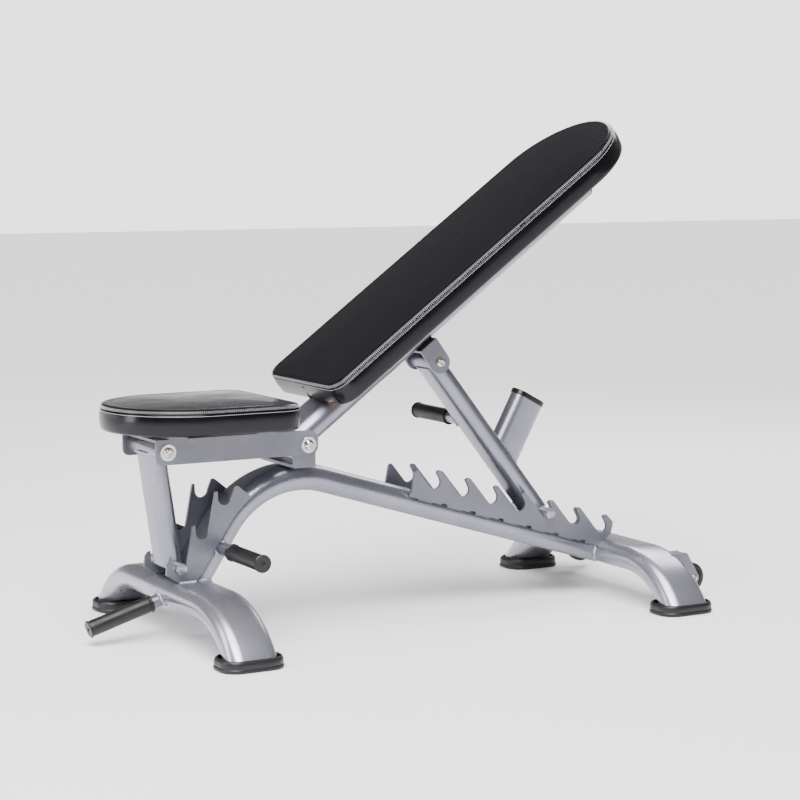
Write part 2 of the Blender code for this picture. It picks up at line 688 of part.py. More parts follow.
def build_pad(name, rear, front, wide, corner, frame, vinyl, timber):
    """A pad with its plywood board let into the underside; the frame's origin is on the underside."""
    mesh = plate_mesh(f"{name}_pad", [pad_outline(rear, front, wide, corner)], PAD_THICK)
    up = frame @ Matrix.Translation((0, 0, PAD_THICK / 2))
    pad = add_mesh(f"{name}_pad", mesh, up, vinyl)
    edge = pad.modifiers.new("edge", "BEVEL")
    edge.width = PAD_EDGE
    edge.segments = 2
    edge.limit_method = "ANGLE"
    edge.angle_limit = math.radians(60)
    recess = plate_mesh(f"{name}_recess", [pad_outline(rear, front, wide, corner, BOARD_INSET - FIT)],
                        2 * (BOARD_THICK + FIT))
    boolean(pad, add_mesh(f"{name}_recess", recess, frame))
    smooth(pad)
    board = plate_mesh(f"{name}_board", [pad_outline(rear, front, wide, corner, BOARD_INSET)], BOARD_THICK)
    place = frame @ Matrix.Translation((0, 0, BOARD_THICK / 2))
    return pad, add_mesh(f"{name}_board", board, place, timber)


def mount_plate(name, along, frame, thick, steel):
    """A cross plate under a pad; the frame's origin is on the plate's underside."""
    half_long = MOUNT_PLATE_LONG / 2
    half_wide = MOUNT_PLATE_WIDE / 2
    outline = rounded_box(along - half_long, along + half_long, -half_wide, half_wide, [0.006] * 4, steps=3)
    place = frame @ Matrix.Translation((0, 0, thick / 2))
    return add_mesh(name, plate_mesh(name, [outline], thick), place, steel)


# ---- the bench ------------------------------------------------------------------------------------
def build_frame(steel, plate, rubber, zinc, bright):
    """Legs, spine, ladders, fixed handles and the pivot bracket."""
    front_leg, front_solid = build_leg("front_leg", FRONT_LEG_X, FRONT_LEG_FLAT, steel, rubber)
    rear_leg, rear_solid = build_leg("rear_leg", REAR_LEG_X, REAR_LEG_FLAT, steel, rubber)
    path = spine_path()
    spine = oval_tube("spine_tube", path, side_frame(), FRAME_THICK, FRAME_WIDE, FRAME_WALL, steel)
    boolean(spine, front_solid)
    boolean(spine, rear_solid)
    spine_solid = oval_cutter("spine_solid", path, side_frame(), FRAME_THICK, FRAME_WIDE)
    build_ladders(plate, rear_solid)

    base_x, base_z = rake_point(LEG_TOP)
    along = Vector((math.cos(FRONT_RAKE), math.sin(FRONT_RAKE)))
    front = Vector((-math.sin(FRONT_RAKE), math.cos(FRONT_RAKE)))
    spot = Vector((base_x, base_z)) + along * SIDE_HANDLE_ALONG + front * SIDE_HANDLE_OFFSET
    for side, sign in (("left", -1), ("right", 1)):
        matrix = frame_of(Vector((1, 0, 0)), Vector((0, 0, -sign)), Vector((0, sign, 0)),
                          Vector((spot.x, 0, spot.y)))
        build_handle(f"side_handle_{side}", matrix, FRAME_WIDE / 2 - 0.02, SIDE_HANDLE_REACH, spine_solid,
                     steel, rubber)
    forward = Vector((-math.cos(FRONT_HANDLE_DROP), 0, -math.sin(FRONT_HANDLE_DROP)))
    side = Vector((0, 1, 0))
    place = Vector((FRONT_LEG_X - FRONT_HANDLE_START, 0, FRONT_HANDLE_START_Z))
    matrix = frame_of(side.cross(forward), side, forward, place)
    build_handle("front_handle", matrix, 0.0, FRONT_HANDLE_LONG, front_solid, steel, rubber)

    low = CROWN_TOP + FIT - PIVOT_Z
    half = PIVOT_BRACKET_LONG / 2
    lean = -0.0025
    outline = rounded_box(lean - half, lean + half, low, PIVOT_BRACKET_ABOVE, [0, 0, 0.018, 0.018])
    bracket = channel("pivot_bracket", outline, side_frame(PIVOT_X, PIVOT_Z), PIVOT_BRACKET_WIDE,
                      PIVOT_BRACKET_PLATE, "below", plate)
    boolean(bracket, rod_cutter("main_pivot_hole", PIVOT_X, PIVOT_Z, BOLT_DIAMETER + BOLT_PLAY))

    build_bolt("main_pivot", PIVOT_X, PIVOT_Z, SEAT_BRACKET_WIDE / 2, True, zinc)
    gap_in = PIVOT_BRACKET_WIDE / 2 + FIT
    gap_out = SEAT_BRACKET_WIDE / 2 - SEAT_BRACKET_PLATE - FIT
    for side, low_end, high_end in (("left", -gap_out, -gap_in), ("right", gap_in, gap_out)):
        profile = ring_profile(WASHER_DIAMETER / 2, BOLT_DIAMETER / 2 + FIT, low_end, high_end)
        turned(f"thrust_bush_{side}", profile, across(PIVOT_X, 0, PIVOT_Z), bright, closed=True)
    return rear_solid


def build_wheels(rear_solid, plate, rubber, zinc):
    """A fork, an axle and a wheel at each rear corner."""
    wheel_x = REAR_LEG_X + WHEEL_BEHIND_LEG
    inner = WHEEL_WIDE / 2 + WHEEL_GAP
    outer = inner + WHEEL_CHEEK
    for side, sign in (("left", -1), ("right", 1)):
        middle = sign * WHEEL_SIDE
        frame = side_frame(wheel_x, WHEEL_Z, y=middle)
        outline = [(-0.056, 0.054), (-0.056, 0.022), (-0.012, -0.004)]
        outline += arc(0, 0, 0.013, 200, 380, 9)
        outline += [(-0.018, 0.054)]
        fork = add_mesh(f"wheel_bracket_{side}", plate_mesh(f"wheel_bracket_{side}", [outline], 2 * outer),
                        frame, plate)
        hollow_low = box_cutter(f"wheel_bracket_{side}_well", -0.070, 0.030, -0.030, 0.036, -inner, inner, frame)
        boolean(fork, hollow_low)
        hollow_back = box_cutter(f"wheel_bracket_{side}_back", -0.022, 0.030, 0.030, 0.070, -inner, inner, frame)
        boolean(fork, hollow_back)
        boolean(fork, rear_solid)
        boolean(fork, turned(f"wheel_bracket_{side}_hole",
                             disc_profile((AXLE_DIAMETER + BOLT_PLAY) / 2, -0.04, 0.04),
                             across(wheel_x, middle, WHEEL_Z)))
        shank = AXLE_DIAMETER / 2
        head = AXLE_HEAD_DIAMETER / 2
        end = outer + FIT
        profile = [(0, end + AXLE_HEAD), (0.8 * head, end + AXLE_HEAD), (head, end + 0.5 * AXLE_HEAD)]
        profile += [(head, end), (shank, end), (shank, -end), (head, -end), (head, -end - 0.5 * AXLE_HEAD)]
        profile += [(0.8 * head, -end - AXLE_HEAD), (0, -end - AXLE_HEAD)]
        turned(f"wheel_axle_{side}", profile, across(wheel_x, middle, WHEEL_Z), zinc)
        half = WHEEL_WIDE / 2
        edge = 0.003
        bore = (AXLE_DIAMETER + BOLT_PLAY) / 2
        profile = [(bore, half), (WHEEL_RADIUS - edge, half), (WHEEL_RADIUS, half - edge)]
        profile += [(WHEEL_RADIUS, -half + edge), (WHEEL_RADIUS - edge, -half), (bore, -half)]
        wheel = turned(f"wheel_{side}", profile, across(wheel_x, middle, WHEEL_Z), rubber, steps=WHEEL_STEPS,
                       closed=True)
        empty = joint_empty(f"wheel_axis_{side}", (wheel_x, middle, WHEEL_Z))
        hang_on(empty, wheel)


def build_seat(plate, steel, zinc, bright, vinyl, timber):
    """The seat bracket, pad and mounts, and the seat strut in its lowest notch."""
    pivot_frame = side_frame(PIVOT_X, PIVOT_Z)
    outline = rounded_box(-SEAT_BRACKET_FRONT, SEAT_BRACKET_REAR, -SEAT_BRACKET_BELOW, SEAT_BRACKET_ABOVE,
                          [0.012, 0.016, 0.018, 0.0])
    bracket = channel("seat_bracket", outline, pivot_frame, SEAT_BRACKET_WIDE, SEAT_BRACKET_PLATE, "above",
                      plate)
    inner = SEAT_BRACKET_WIDE / 2 - SEAT_BRACKET_PLATE
    boolean(bracket, box_cutter("seat_top_plate_stop", -SEAT_TOP_PLATE_STOP, 0.1, 0.0, 0.1, -inner, inner,
                                pivot_frame))
    strut_x = PIVOT_X - SEAT_STRUT_AHEAD
    strut_z = PIVOT_Z + SEAT_STRUT_RISE
    hole = BOLT_DIAMETER + BOLT_PLAY
    boolean(bracket, rod_cutter("seat_bracket_pivot_hole", PIVOT_X, PIVOT_Z, hole))
    boolean(bracket, rod_cutter("seat_bracket_strut_hole", strut_x, strut_z, hole))

    top = SEAT_BRACKET_ABOVE + FIT
    mounts = pad_frame(PIVOT_X, PIVOT_Z, 0.0, top)
    front_plate = mount_plate("seat_mount_plate_front", -SEAT_MOUNT_FRONT, mounts, SEAT_MOUNT_THICK, plate)
    rear_plate = mount_plate("seat_mount_plate_rear", -SEAT_MOUNT_REAR, mounts, SEAT_MOUNT_THICK, plate)
    underside = pad_frame(PIVOT_X, PIVOT_Z, 0.0, top + SEAT_MOUNT_THICK + FIT)
    pad, board = build_pad("seat", -SEAT_PAD_REAR, -SEAT_PAD_FRONT, SEAT_PAD_WIDE, SEAT_PAD_CORNER,
                           underside, vinyl, timber)
    fasteners = build_bolt("seat_strut", strut_x, strut_z, SEAT_BRACKET_WIDE / 2, True, zinc)
    seat_axis = joint_empty("seat_axis", (PIVOT_X, 0, PIVOT_Z))
    hang_on(seat_axis, bracket, front_plate, rear_plate, pad, board, *fasteners)

    notch = Vector(seat_notch(1))
    slack = SEAT_NOTCH_RADIUS - SEAT_CROSSBAR_DIAMETER / 2 - FIT
    foot = (notch.x, notch.y - slack)
    strut = build_strut("seat_strut", (strut_x, strut_z), foot, SLEEVE_DIAMETER, inner - SIDE_PLAY,
                        SEAT_CROSSBAR_DIAMETER, steel, bright)[2]
    hang_on(joint_empty("seat_strut_axis", (strut_x, 0, strut_z)), *strut)


def build_back(plate, steel, zinc, bright, vinyl, timber, plastic, rubber):
    """The back frame, pad and mounts, and the back strut in its notch."""
    axis_frame = side_frame(PIVOT_X, PIVOT_Z, BACK_TILT)
    tube = oval_tube("back_frame_tube", [(-BACK_TUBE_BELOW, 0), (BACK_TUBE_ABOVE, 0)], axis_frame, FRAME_THICK,
                     FRAME_WIDE, FRAME_WALL, steel)
    boolean(tube, rod_cutter("back_sleeve_space", PIVOT_X, PIVOT_Z, SLEEVE_DIAMETER + 2 * FIT))
    sleeve_half = PIVOT_BRACKET_WIDE / 2 - PIVOT_BRACKET_PLATE - SIDE_PLAY
    sleeve = sleeve_piece("back_pivot_sleeve", PIVOT_X, PIVOT_Z, SLEEVE_DIAMETER, sleeve_half, steel)

    plug_frame = axis_frame @ Matrix(((0, 0, 1, 0), (1, 0, 0, 0), (0, 1, 0, 0), (0, 0, 0, 1)))
    flange_middle = BACK_TUBE_ABOVE + FIT + PLUG_FLANGE / 2
    flange = plate_mesh("back_tube_plug", [flat_oval(FRAME_THICK, FRAME_WIDE)], PLUG_FLANGE)
    plug = add_mesh("back_tube_plug", flange, plug_frame @ Matrix.Translation((0, 0, flange_middle)), plastic)
    shrink = 2 * (FRAME_WALL + FIT)
    stem = plate_mesh("plug_stem", [flat_oval(FRAME_THICK - shrink, FRAME_WIDE - shrink)], PLUG_DEPTH)
    stem_middle = BACK_TUBE_ABOVE + FIT + PLUG_FLANGE / 2 - PLUG_DEPTH / 2
    boolean(plug, add_mesh("plug_stem", stem, plug_frame @ Matrix.Translation((0, 0, stem_middle))), "UNION")

    mounts = pad_frame(PIVOT_X, PIVOT_Z, BACK_TILT, FRAME_THICK / 2 + FIT)
    lower = mount_plate("back_mount_plate_lower", BACK_MOUNT_LOWER, mounts, BACK_MOUNT_THICK, plate)
    upper = mount_plate("back_mount_plate_upper", BACK_MOUNT_UPPER, mounts, BACK_MOUNT_THICK, plate)
    underside = pad_frame(PIVOT_X, PIVOT_Z, BACK_TILT, FRAME_THICK / 2 + 2 * FIT + BACK_MOUNT_THICK)
    pad, board = build_pad("back", BACK_PAD_START, BACK_PAD_START + BACK_PAD_LONG, BACK_PAD_WIDE,
                           BACK_PAD_CORNER, underside, vinyl, timber)

    half = STRUT_BRACKET_LONG / 2
    high = -FRAME_THICK / 2 - FIT
    low = -STRUT_PIVOT_BELOW - half
    outline = rounded_box(STRUT_PIVOT_ALONG - half, STRUT_PIVOT_ALONG + half, low, high,
                          [half - 0.0005, half - 0.0005, 0, 0], steps=6)
    bracket = channel("strut_bracket", outline, axis_frame, STRUT_BRACKET_WIDE, STRUT_BRACKET_PLATE, "above",
                      plate)
    pivot = axis_frame @ Vector((STRUT_PIVOT_ALONG, -STRUT_PIVOT_BELOW, 0))
    pivot = Vector((pivot.x, pivot.z))
    boolean(bracket, rod_cutter("strut_bracket_hole", *pivot, BOLT_DIAMETER + BOLT_PLAY))
    fasteners = build_bolt("back_strut", *pivot, STRUT_BRACKET_WIDE / 2, False, zinc)
    back_axis = joint_empty("back_axis", (PIVOT_X, 0, PIVOT_Z))
    hang_on(back_axis, tube, sleeve, plug, lower, upper, pad, board, bracket, *fasteners)

    s, h = back_notch(BACK_NOTCH_IN_USE)
    notch = Vector(SLOPE_START) + SLOPE_ALONG * s + SLOPE_UP * h
    slack = BACK_NOTCH_RADIUS - BACK_CROSSBAR_DIAMETER / 2 - FIT
    foot = notch + (notch - pivot).normalized() * slack
    inner = STRUT_BRACKET_WIDE / 2 - STRUT_BRACKET_PLATE - SIDE_PLAY
    frame, run, strut = build_strut("back_strut", pivot, foot, BACK_SLEEVE_DIAMETER, inner,
                                    BACK_CROSSBAR_DIAMETER, steel, bright)
    strut_solid = oval_cutter("back_strut_solid", [(0, 0), (run.length, 0)], frame, STRUT_THICK, STRUT_WIDE)

    root = frame @ Vector((POST_ALONG, 0, 0))
    post_frame = side_frame(root.x, root.z, POST_ANGLE)
    post_mesh = swept_mesh("post_tube", [(0, 0), (POST_LONG, 0)], flat_oval_turned(), capped=False)
    post = add_mesh("post_tube", post_mesh, post_frame, steel)
    shell = post.modifiers.new("wall", "SOLIDIFY")
    shell.thickness = STRUT_WALL
    shell.offset = -1.0
    smooth(post)
    boolean(post, strut_solid)
    cap_frame = post_frame @ Matrix(((0, 0, 1, 0), (1, 0, 0, 0), (0, 1, 0, 0), (0, 0, 0, 1)))
    cap_outline = [(y, x) for x, y in flat_oval(STRUT_THICK + 2 * POST_CAP_PROUD, STRUT_WIDE + 2 * POST_CAP_PROUD)]
    cap_mesh = plate_mesh("post_cap", [cap_outline], POST_CAP_THICK)
    cap_middle = POST_LONG + FIT + POST_CAP_THICK / 2
    cap = add_mesh("post_cap", cap_mesh, cap_frame @ Matrix.Translation((0, 0, cap_middle)), plastic)

    grip_spot = frame @ Vector((STRUT_HANDLE_ALONG, -STRUT_HANDLE_OFFSET, 0))
    matrix = across(grip_spot.x, 0, grip_spot.z)
    handle = build_handle("strut_handle", matrix, 0.010, STRUT_HANDLE_REACH, strut_solid, steel, rubber)
    hang_on(joint_empty("back_strut_axis", (pivot.x, 0, pivot.y)), *strut, post, cap, *handle)


def flat_oval_turned():
    """The strut section turned so that its wide side lies in the path's plane."""
    return [(y, -x) for x, y in flat_oval(STRUT_THICK, STRUT_WIDE)]


def main():
    """Build every piece."""
    clear_scene()
    steel = finish("silver_powder_coat", (0.42, 0.42, 0.46), 0.38, 0.75)
    plate = finish("silver_plate", (0.37, 0.37, 0.42), 0.42, 0.70)
    bright = finish("machined_steel", (0.62, 0.62, 0.64), 0.30, 1.0)
    zinc = finish("zinc_plated_fastener", (0.70, 0.70, 0.72), 0.25, 1.0)
    vinyl = finish("black_vinyl", (0.012, 0.012, 0.016), 0.28, 0.0)
    timber = finish("plywood", (0.45, 0.32, 0.19), 0.75, 0.0)
    rubber = finish("black_rubber", (0.018, 0.018, 0.022), 0.70, 0.0)
    plastic = finish("black_plastic", (0.02, 0.02, 0.022), 0.45, 0.0)
    rear_solid = build_frame(steel, plate, rubber, zinc, bright)
    build_wheels(rear_solid, plate, rubber, zinc)
    build_seat(plate, steel, zinc, bright, vinyl, timber)
    build_back(plate, steel, zinc, bright, vinyl, timber, plastic, rubber)


main()
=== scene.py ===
"""The finished look of the adjustable weight bench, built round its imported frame. Units are metres."""
import json
import logging
import math
from dataclasses import dataclass, field
from enum import Enum
from typing import Iterable, Optional, Sequence

import bmesh
import bpy
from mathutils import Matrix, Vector, noise
from mathutils.bvhtree import BVHTree


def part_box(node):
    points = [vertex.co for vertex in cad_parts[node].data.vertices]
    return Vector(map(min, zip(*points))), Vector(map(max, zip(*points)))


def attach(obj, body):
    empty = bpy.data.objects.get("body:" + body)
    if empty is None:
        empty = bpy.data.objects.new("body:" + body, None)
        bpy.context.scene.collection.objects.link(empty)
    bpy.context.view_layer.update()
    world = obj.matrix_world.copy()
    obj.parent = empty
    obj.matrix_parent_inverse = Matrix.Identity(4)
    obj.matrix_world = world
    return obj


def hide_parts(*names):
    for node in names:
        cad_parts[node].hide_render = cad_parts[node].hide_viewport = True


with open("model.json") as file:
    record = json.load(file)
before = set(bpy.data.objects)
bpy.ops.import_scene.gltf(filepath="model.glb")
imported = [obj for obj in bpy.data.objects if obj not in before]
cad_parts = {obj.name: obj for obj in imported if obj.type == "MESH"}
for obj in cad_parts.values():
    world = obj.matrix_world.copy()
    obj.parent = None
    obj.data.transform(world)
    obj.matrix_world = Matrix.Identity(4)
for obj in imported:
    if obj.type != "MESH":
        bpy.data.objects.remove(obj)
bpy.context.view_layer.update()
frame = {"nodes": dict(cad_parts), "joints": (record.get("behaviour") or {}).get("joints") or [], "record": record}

LOG = logging.getLogger("bench")
MM = 0.001
ALONG_Y = Vector((0, 1, 0))
BOLT_HOLE = 6.3 * MM
LEAST_SEAM = 8  # fewest points that make a seam
JOINTS = {joint["name"]: joint for joint in frame["joints"]}
Ring = list[Vector]


# ---- small helpers --------------------------------------------------------------------------------
def linear(code: str, alpha: float = 1.0) -> tuple[float, float, float, float]:
    """Turn an sRGB hex code into a linear colour.

    Args:
        code: Six hex digits, such as "8F8F9A".
        alpha: The colour's opacity.

    Returns:
        Red, green, blue and alpha, linear.
    """
    values = []
    for index in (0, 2, 4):
        share = int(code[index:index + 2], 16) / 255
        values.append(share / 12.92 if share <= 0.04045 else ((share + 0.055) / 1.055) ** 2.4)
    return values[0], values[1], values[2], alpha


def add_node(tree: bpy.types.NodeTree, kind: str, settings: Optional[dict] = None,
             inputs: Optional[dict] = None) -> bpy.types.Node:
    """Add a node with its settings, values and links.

    Args:
        tree: The node tree it goes in.
        kind: The node's type name.
        settings: Attribute name to value.
        inputs: Input name or number to a value, or to the output socket that feeds it.

    Returns:
        The new node.
    """
    node = tree.nodes.new(kind)
    for name, value in (settings or {}).items():
        setattr(node, name, value)
    for name, value in (inputs or {}).items():
        if isinstance(value, bpy.types.NodeSocket):
            tree.links.new(value, node.inputs[name])
        else:
            node.inputs[name].default_value = value
    return node


def joint_place(name: str) -> Vector:
    """Where a joint's axis crosses the bench's middle plane."""
    return Vector(JOINTS[name]["pos_m"])


def middle_of(node: str) -> Vector:
    """The middle of a node's box."""
    low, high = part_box(node)
    return (low + high) / 2


# ---- finishes -------------------------------------------------------------------------------------
class Grain(Enum):
    """How a surface was made, which sets its relief."""

    ORANGE_PEEL = "powder melted in an oven"
    HIDE = "embossed vinyl"
    MOULDED = "moulded in a spark-eroded tool"
    PLATED = "tumbled, then plated"
    VENEER = "rotary-cut veneer"
    TWIST = "twisted thread"


@dataclass(frozen=True)
class Finish:
    """One real finish, turned into a node material once and then shared."""

    name: str
    colour: str
    shade: str
    grain: Grain
    grain_mm: float
    relief_mm: float
    roughness: float
    metallic: float = 0.0
    mottle_mm: float = 60.0
    rough_spread: float = 0.08
    coat: float = 0.0
    coat_roughness: float = 0.15
    sheen: float = 0.0
    ior: float = 1.5
    scuff: str = ""

    def material(self) -> bpy.types.Material:
        """Build the material, or give back the one already built."""
        known = bpy.data.materials.get(self.name)
        if known:
            return known
        material = bpy.data.materials.new(self.name)
        material.use_nodes = True
        tree = material.node_tree
        shader = tree.nodes["Principled BSDF"]
        place = add_node(tree, "ShaderNodeTexCoord").outputs["Object"]
        mottle = add_node(tree, "ShaderNodeTexNoise", None,
                          {"Vector": place, "Scale": 1 / (self.mottle_mm * MM), "Detail": 4.0})
        blend = add_node(tree, "ShaderNodeMapRange", None,
                         {"Value": mottle.outputs["Fac"], "From Min": 0.35, "From Max": 0.65})
        colour = add_node(tree, "ShaderNodeMix", {"data_type": "RGBA"},
                          {"Factor": blend.outputs["Result"], 6: linear(self.colour), 7: linear(self.shade)})
        finished = colour.outputs[2]
        rough_from = mottle.outputs["Fac"]
        if self.scuff:
            finished, rough_from = self._scuffed(tree, place, finished)
        rough = add_node(tree, "ShaderNodeMapRange", None,
                         {"Value": rough_from, "From Min": 0.3, "From Max": 0.7,
                          "To Min": self.roughness - self.rough_spread,
                          "To Max": self.roughness + self.rough_spread})
        tree.links.new(finished, shader.inputs["Base Color"])
        tree.links.new(rough.outputs["Result"], shader.inputs["Roughness"])
        tree.links.new(self._relief(tree, place), shader.inputs["Normal"])
        shader.inputs["Metallic"].default_value = self.metallic
        shader.inputs["Coat Weight"].default_value = self.coat
        shader.inputs["Coat Roughness"].default_value = self.coat_roughness
        shader.inputs["Sheen Weight"].default_value = self.sheen
        if self.metallic < 1.0:
            shader.inputs["IOR"].default_value = self.ior
        return material

    def _scuffed(self, tree: bpy.types.NodeTree, place: bpy.types.NodeSocket,
                 base: bpy.types.NodeSocket) -> tuple[bpy.types.NodeSocket, bpy.types.NodeSocket]:
        """Rub a finish: sparse long scratches and specks in a second colour.

        Args:
            tree: The material's tree.
            place: Object coordinates.
            base: The unworn colour.

        Returns:
            The worn colour, and the noise that roughness follows.
        """
        stretched = add_node(tree, "ShaderNodeMapping", None, {"Vector": place, "Scale": (1.0, 1.0, 3.5)})
        marks = add_node(tree, "ShaderNodeTexNoise", None,
                         {"Vector": stretched.outputs["Vector"], "Scale": 90.0, "Detail": 6.0,
                          "Roughness": 0.7})
        spread = add_node(tree, "ShaderNodeTexNoise", None, {"Vector": place, "Scale": 9.0, "Detail": 2.0})
        both = add_node(tree, "ShaderNodeMath", {"operation": "MULTIPLY"},
                        {0: marks.outputs["Fac"], 1: spread.outputs["Fac"]})
        worn = add_node(tree, "ShaderNodeMapRange", None,
                        {"Value": both.outputs["Value"], "From Min": 0.36, "From Max": 0.44,
                         "To Max": 0.55})
        colour = add_node(tree, "ShaderNodeMix", {"data_type": "RGBA"},
                          {"Factor": worn.outputs["Result"], 6: base, 7: linear(self.scuff)})
        return colour.outputs[2], marks.outputs["Fac"]

    def _relief(self, tree: bpy.types.NodeTree, place: bpy.types.NodeSocket) -> bpy.types.NodeSocket:
        """The surface's fine height, as a bumped normal."""
        scale = 1 / (self.grain_mm * MM)
        if self.grain is Grain.HIDE:
            cells = add_node(tree, "ShaderNodeTexVoronoi", {"feature": "DISTANCE_TO_EDGE"},
                             {"Vector": place, "Scale": scale})
            height = cells.outputs["Distance"]
        elif self.grain is Grain.VENEER:
            flat = add_node(tree, "ShaderNodeMapping", None, {"Vector": place, "Scale": (0.06, 1.0, 0.06)})
            rings = add_node(tree, "ShaderNodeTexNoise", None,
                             {"Vector": flat.outputs["Vector"], "Scale": scale, "Detail": 5.0,
                              "Distortion": 0.6})
            height = rings.outputs["Fac"]
        elif self.grain is Grain.TWIST:
            lay = add_node(tree, "ShaderNodeTexWave", {"bands_direction": "DIAGONAL"},
                           {"Vector": place, "Scale": scale / 6})
            height = lay.outputs["Fac"]
        else:
            bumps = add_node(tree, "ShaderNodeTexNoise", None,
                             {"Vector": place, "Scale": scale, "Detail": 2.0})
            height = bumps.outputs["Fac"]
        bump = add_node(tree, "ShaderNodeBump", None,
                        {"Height": height, "Distance": self.relief_mm * MM, "Strength": 0.5})
        return bump.outputs["Normal"]


# Silver polyester powder coat on tube: fine metallic flake in a faint orange peel, so that highlights
# run soft and wide along the flat ovals.
TUBE_PAINT = Finish("silver_powder_coat_tube", "90909B", "868692", Grain.ORANGE_PEEL, 2.4, 0.012, 0.30,
                    metallic=0.85, mottle_mm=90, rough_spread=0.04, coat=0.15, scuff="9C9CA6")
# The legs take the tubes' silver powder painted lighter: painted light, for the light from above that falls on
# their broad tops.
LIT_LEG_PAINT = Finish("silver_powder_coat_legs_painted_light", "A8A8B2", "9E9EAA", Grain.ORANGE_PEEL, 2.4, 0.012, 0.29,
                   metallic=0.85, mottle_mm=90, rough_spread=0.04, coat=0.18)
# The same powder on laser-cut plate lies flatter and duller.
PLATE_PAINT = Finish("silver_powder_coat_plate", "767680", "6E6E78", Grain.ORANGE_PEEL, 2.0, 0.015, 0.42,
                     metallic=0.66, mottle_mm=70, rough_spread=0.05, coat=0.08, scuff="8A8A93")
# Powder over a weld bead: its bumped ripples catch the light, and its colour is painted lighter than the tube's
# powder as a painted highlight along the seam.
WELD_PAINT_WITH_PAINTED_HIGHLIGHT = Finish("silver_powder_coat_weld_painted_highlight", "B4B4BC", "9A9AA3", Grain.ORANGE_PEEL, 1.5, 0.2, 0.28,
                    metallic=0.75, mottle_mm=12, rough_spread=0.06, coat=0.2)
# Crossbars rub in the notches: brighter and smoother than the tubes.
BAR_PAINT = Finish("silver_paint_rubbed_bar", "ABABB2", "9A9AA2", Grain.ORANGE_PEEL, 1.8, 0.04, 0.30,
                   metallic=0.80, mottle_mm=30, rough_spread=0.08, scuff="C9C9CE")
# Bright zinc on rolled bolts: near-white highlights with a faint haze.
ZINC = Finish("bright_zinc_plate", "D2D2D2", "C2C2C6", Grain.PLATED, 0.9, 0.02, 0.18, metallic=1.0,
              mottle_mm=9, rough_spread=0.07)
# PVC-coated upholstery cloth, black, embossed with a fine hide grain and finished glossy.
VINYL = Finish("black_upholstery_vinyl", "040407", "07070C", Grain.HIDE, 1.1, 0.009, 0.22, mottle_mm=140,
               rough_spread=0.04, coat=0.05, coat_roughness=0.14, ior=1.36)
# The cut underside cloth is duller.
UNDER_VINYL = Finish("black_vinyl_underside", "101013", "17171A", Grain.HIDE, 1.3, 0.05, 0.55, mottle_mm=60)
# White bonded nylon thread: each stitch has a soft sheen.
THREAD = Finish("white_nylon_thread", "C9C9D0", "B4B4BC", Grain.TWIST, 0.6, 0.08, 0.45, mottle_mm=4,
                sheen=0.3)
# Carbon-black rubber, moulded: matt with a slightly bluish bloom.
BOOT_RUBBER = Finish("black_boot_rubber", "0A0A0C", "101013", Grain.MOULDED, 1.2, 0.06, 0.45, mottle_mm=25,
                     scuff="1C1C20")
GRIP_RUBBER = Finish("black_grip_rubber", "08080A", "0D0D10", Grain.MOULDED, 0.8, 0.05, 0.4, mottle_mm=18)
# Polyurethane tyre on a nylon core, for the transport wheels.
WHEEL_RUBBER = Finish("black_wheel_polyurethane", "0B0B0E", "131317", Grain.MOULDED, 1.0, 0.05, 0.42,
                      mottle_mm=20, scuff="222227")
# Injection-moulded polythene plugs and caps: fine spark texture.
CAP_PLASTIC = Finish("black_moulded_polythene", "0A0A0B", "0F0F11", Grain.MOULDED, 0.7, 0.05, 0.36,
                     mottle_mm=30)
NYLON = Finish("grey_nylon_bush", "8A8A8E", "7E7E83", Grain.MOULDED, 1.0, 0.04, 0.4, mottle_mm=15)
# Birch plywood: pale, with long open grain.
PLYWOOD = Finish("birch_plywood", "B9966B", "9F7D54", Grain.VENEER, 1.6, 0.15, 0.7, mottle_mm=22)


# ---- mesh building --------------------------------------------------------------------------------
def show(piece: bpy.types.Object, finish: Finish, body: str, *nodes: str, slot: str = "") -> bpy.types.Object:
    """Dress a piece, put it on its body, and hide the nodes it stands for.

    Args:
        piece: The new object.
        finish: Its finish.
        body: The body it rides on.
        nodes: CAD nodes that it replaces.
        slot: The record's material slot; not used.

    Returns:
        The piece.
    """
    piece.data.materials.clear()
    piece.data.materials.append(finish.material())
    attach(piece, body)
    if nodes:
        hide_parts(*nodes)
    LOG.info("%s on %s, %d faces", piece.name, body, len(piece.data.polygons))
    return piece


def solid(name: str, vertices: Sequence[Vector], faces: Sequence[Sequence[int]],
          sharp: float = 35.0) -> bpy.types.Object:
    """Make an object from vertices and faces, shaded smooth with its corners kept.

    Args:
        name: Object name.
        vertices: Corner places.
        faces: Corner numbers of each face.
        sharp: Edges over this many degrees stay sharp.

    Returns:
        The object.
    """
    mesh = bpy.data.meshes.new(name)
    mesh.from_pydata([tuple(vertex) for vertex in vertices], [], faces)
    tidy = bmesh.new()
    tidy.from_mesh(mesh)
    bmesh.ops.recalc_face_normals(tidy, faces=tidy.faces)
    tidy.to_mesh(mesh)
    tidy.free()
    mesh.shade_smooth()
    mesh.set_sharp_from_angle(angle=math.radians(sharp))
    piece = bpy.data.objects.new(name, mesh)
    bpy.context.scene.collection.objects.link(piece)
    return piece


def loft(name: str, rings: Sequence[Ring], sharp: float = 35.0, closed: bool = False) -> bpy.types.Object:
    """Skin a row of equal rings and cap both ends, or join the last ring to the first.

    Args:
        name: Object name.
        rings: Rings of the same number of points.
        sharp: Edges over this many degrees stay sharp.
        closed: Join the ends instead of capping them.

    Returns:
        The object.
    """
    count = len(rings[0])
    vertices = [point for ring in rings for point in ring]
    faces: list[Sequence[int]] = []
    spans = len(rings) if closed else len(rings) - 1
    for row in range(spans):
        here = row * count
        there = ((row + 1) % len(rings)) * count
        for index in range(count):
            after = (index + 1) % count
            faces.append((here + index, here + after, there + after, there + index))
    if not closed:
        faces.append(list(range(count))[::-1])
        faces.append([(len(rings) - 1) * count + index for index in range(count)])
    return solid(name, vertices, faces, sharp)


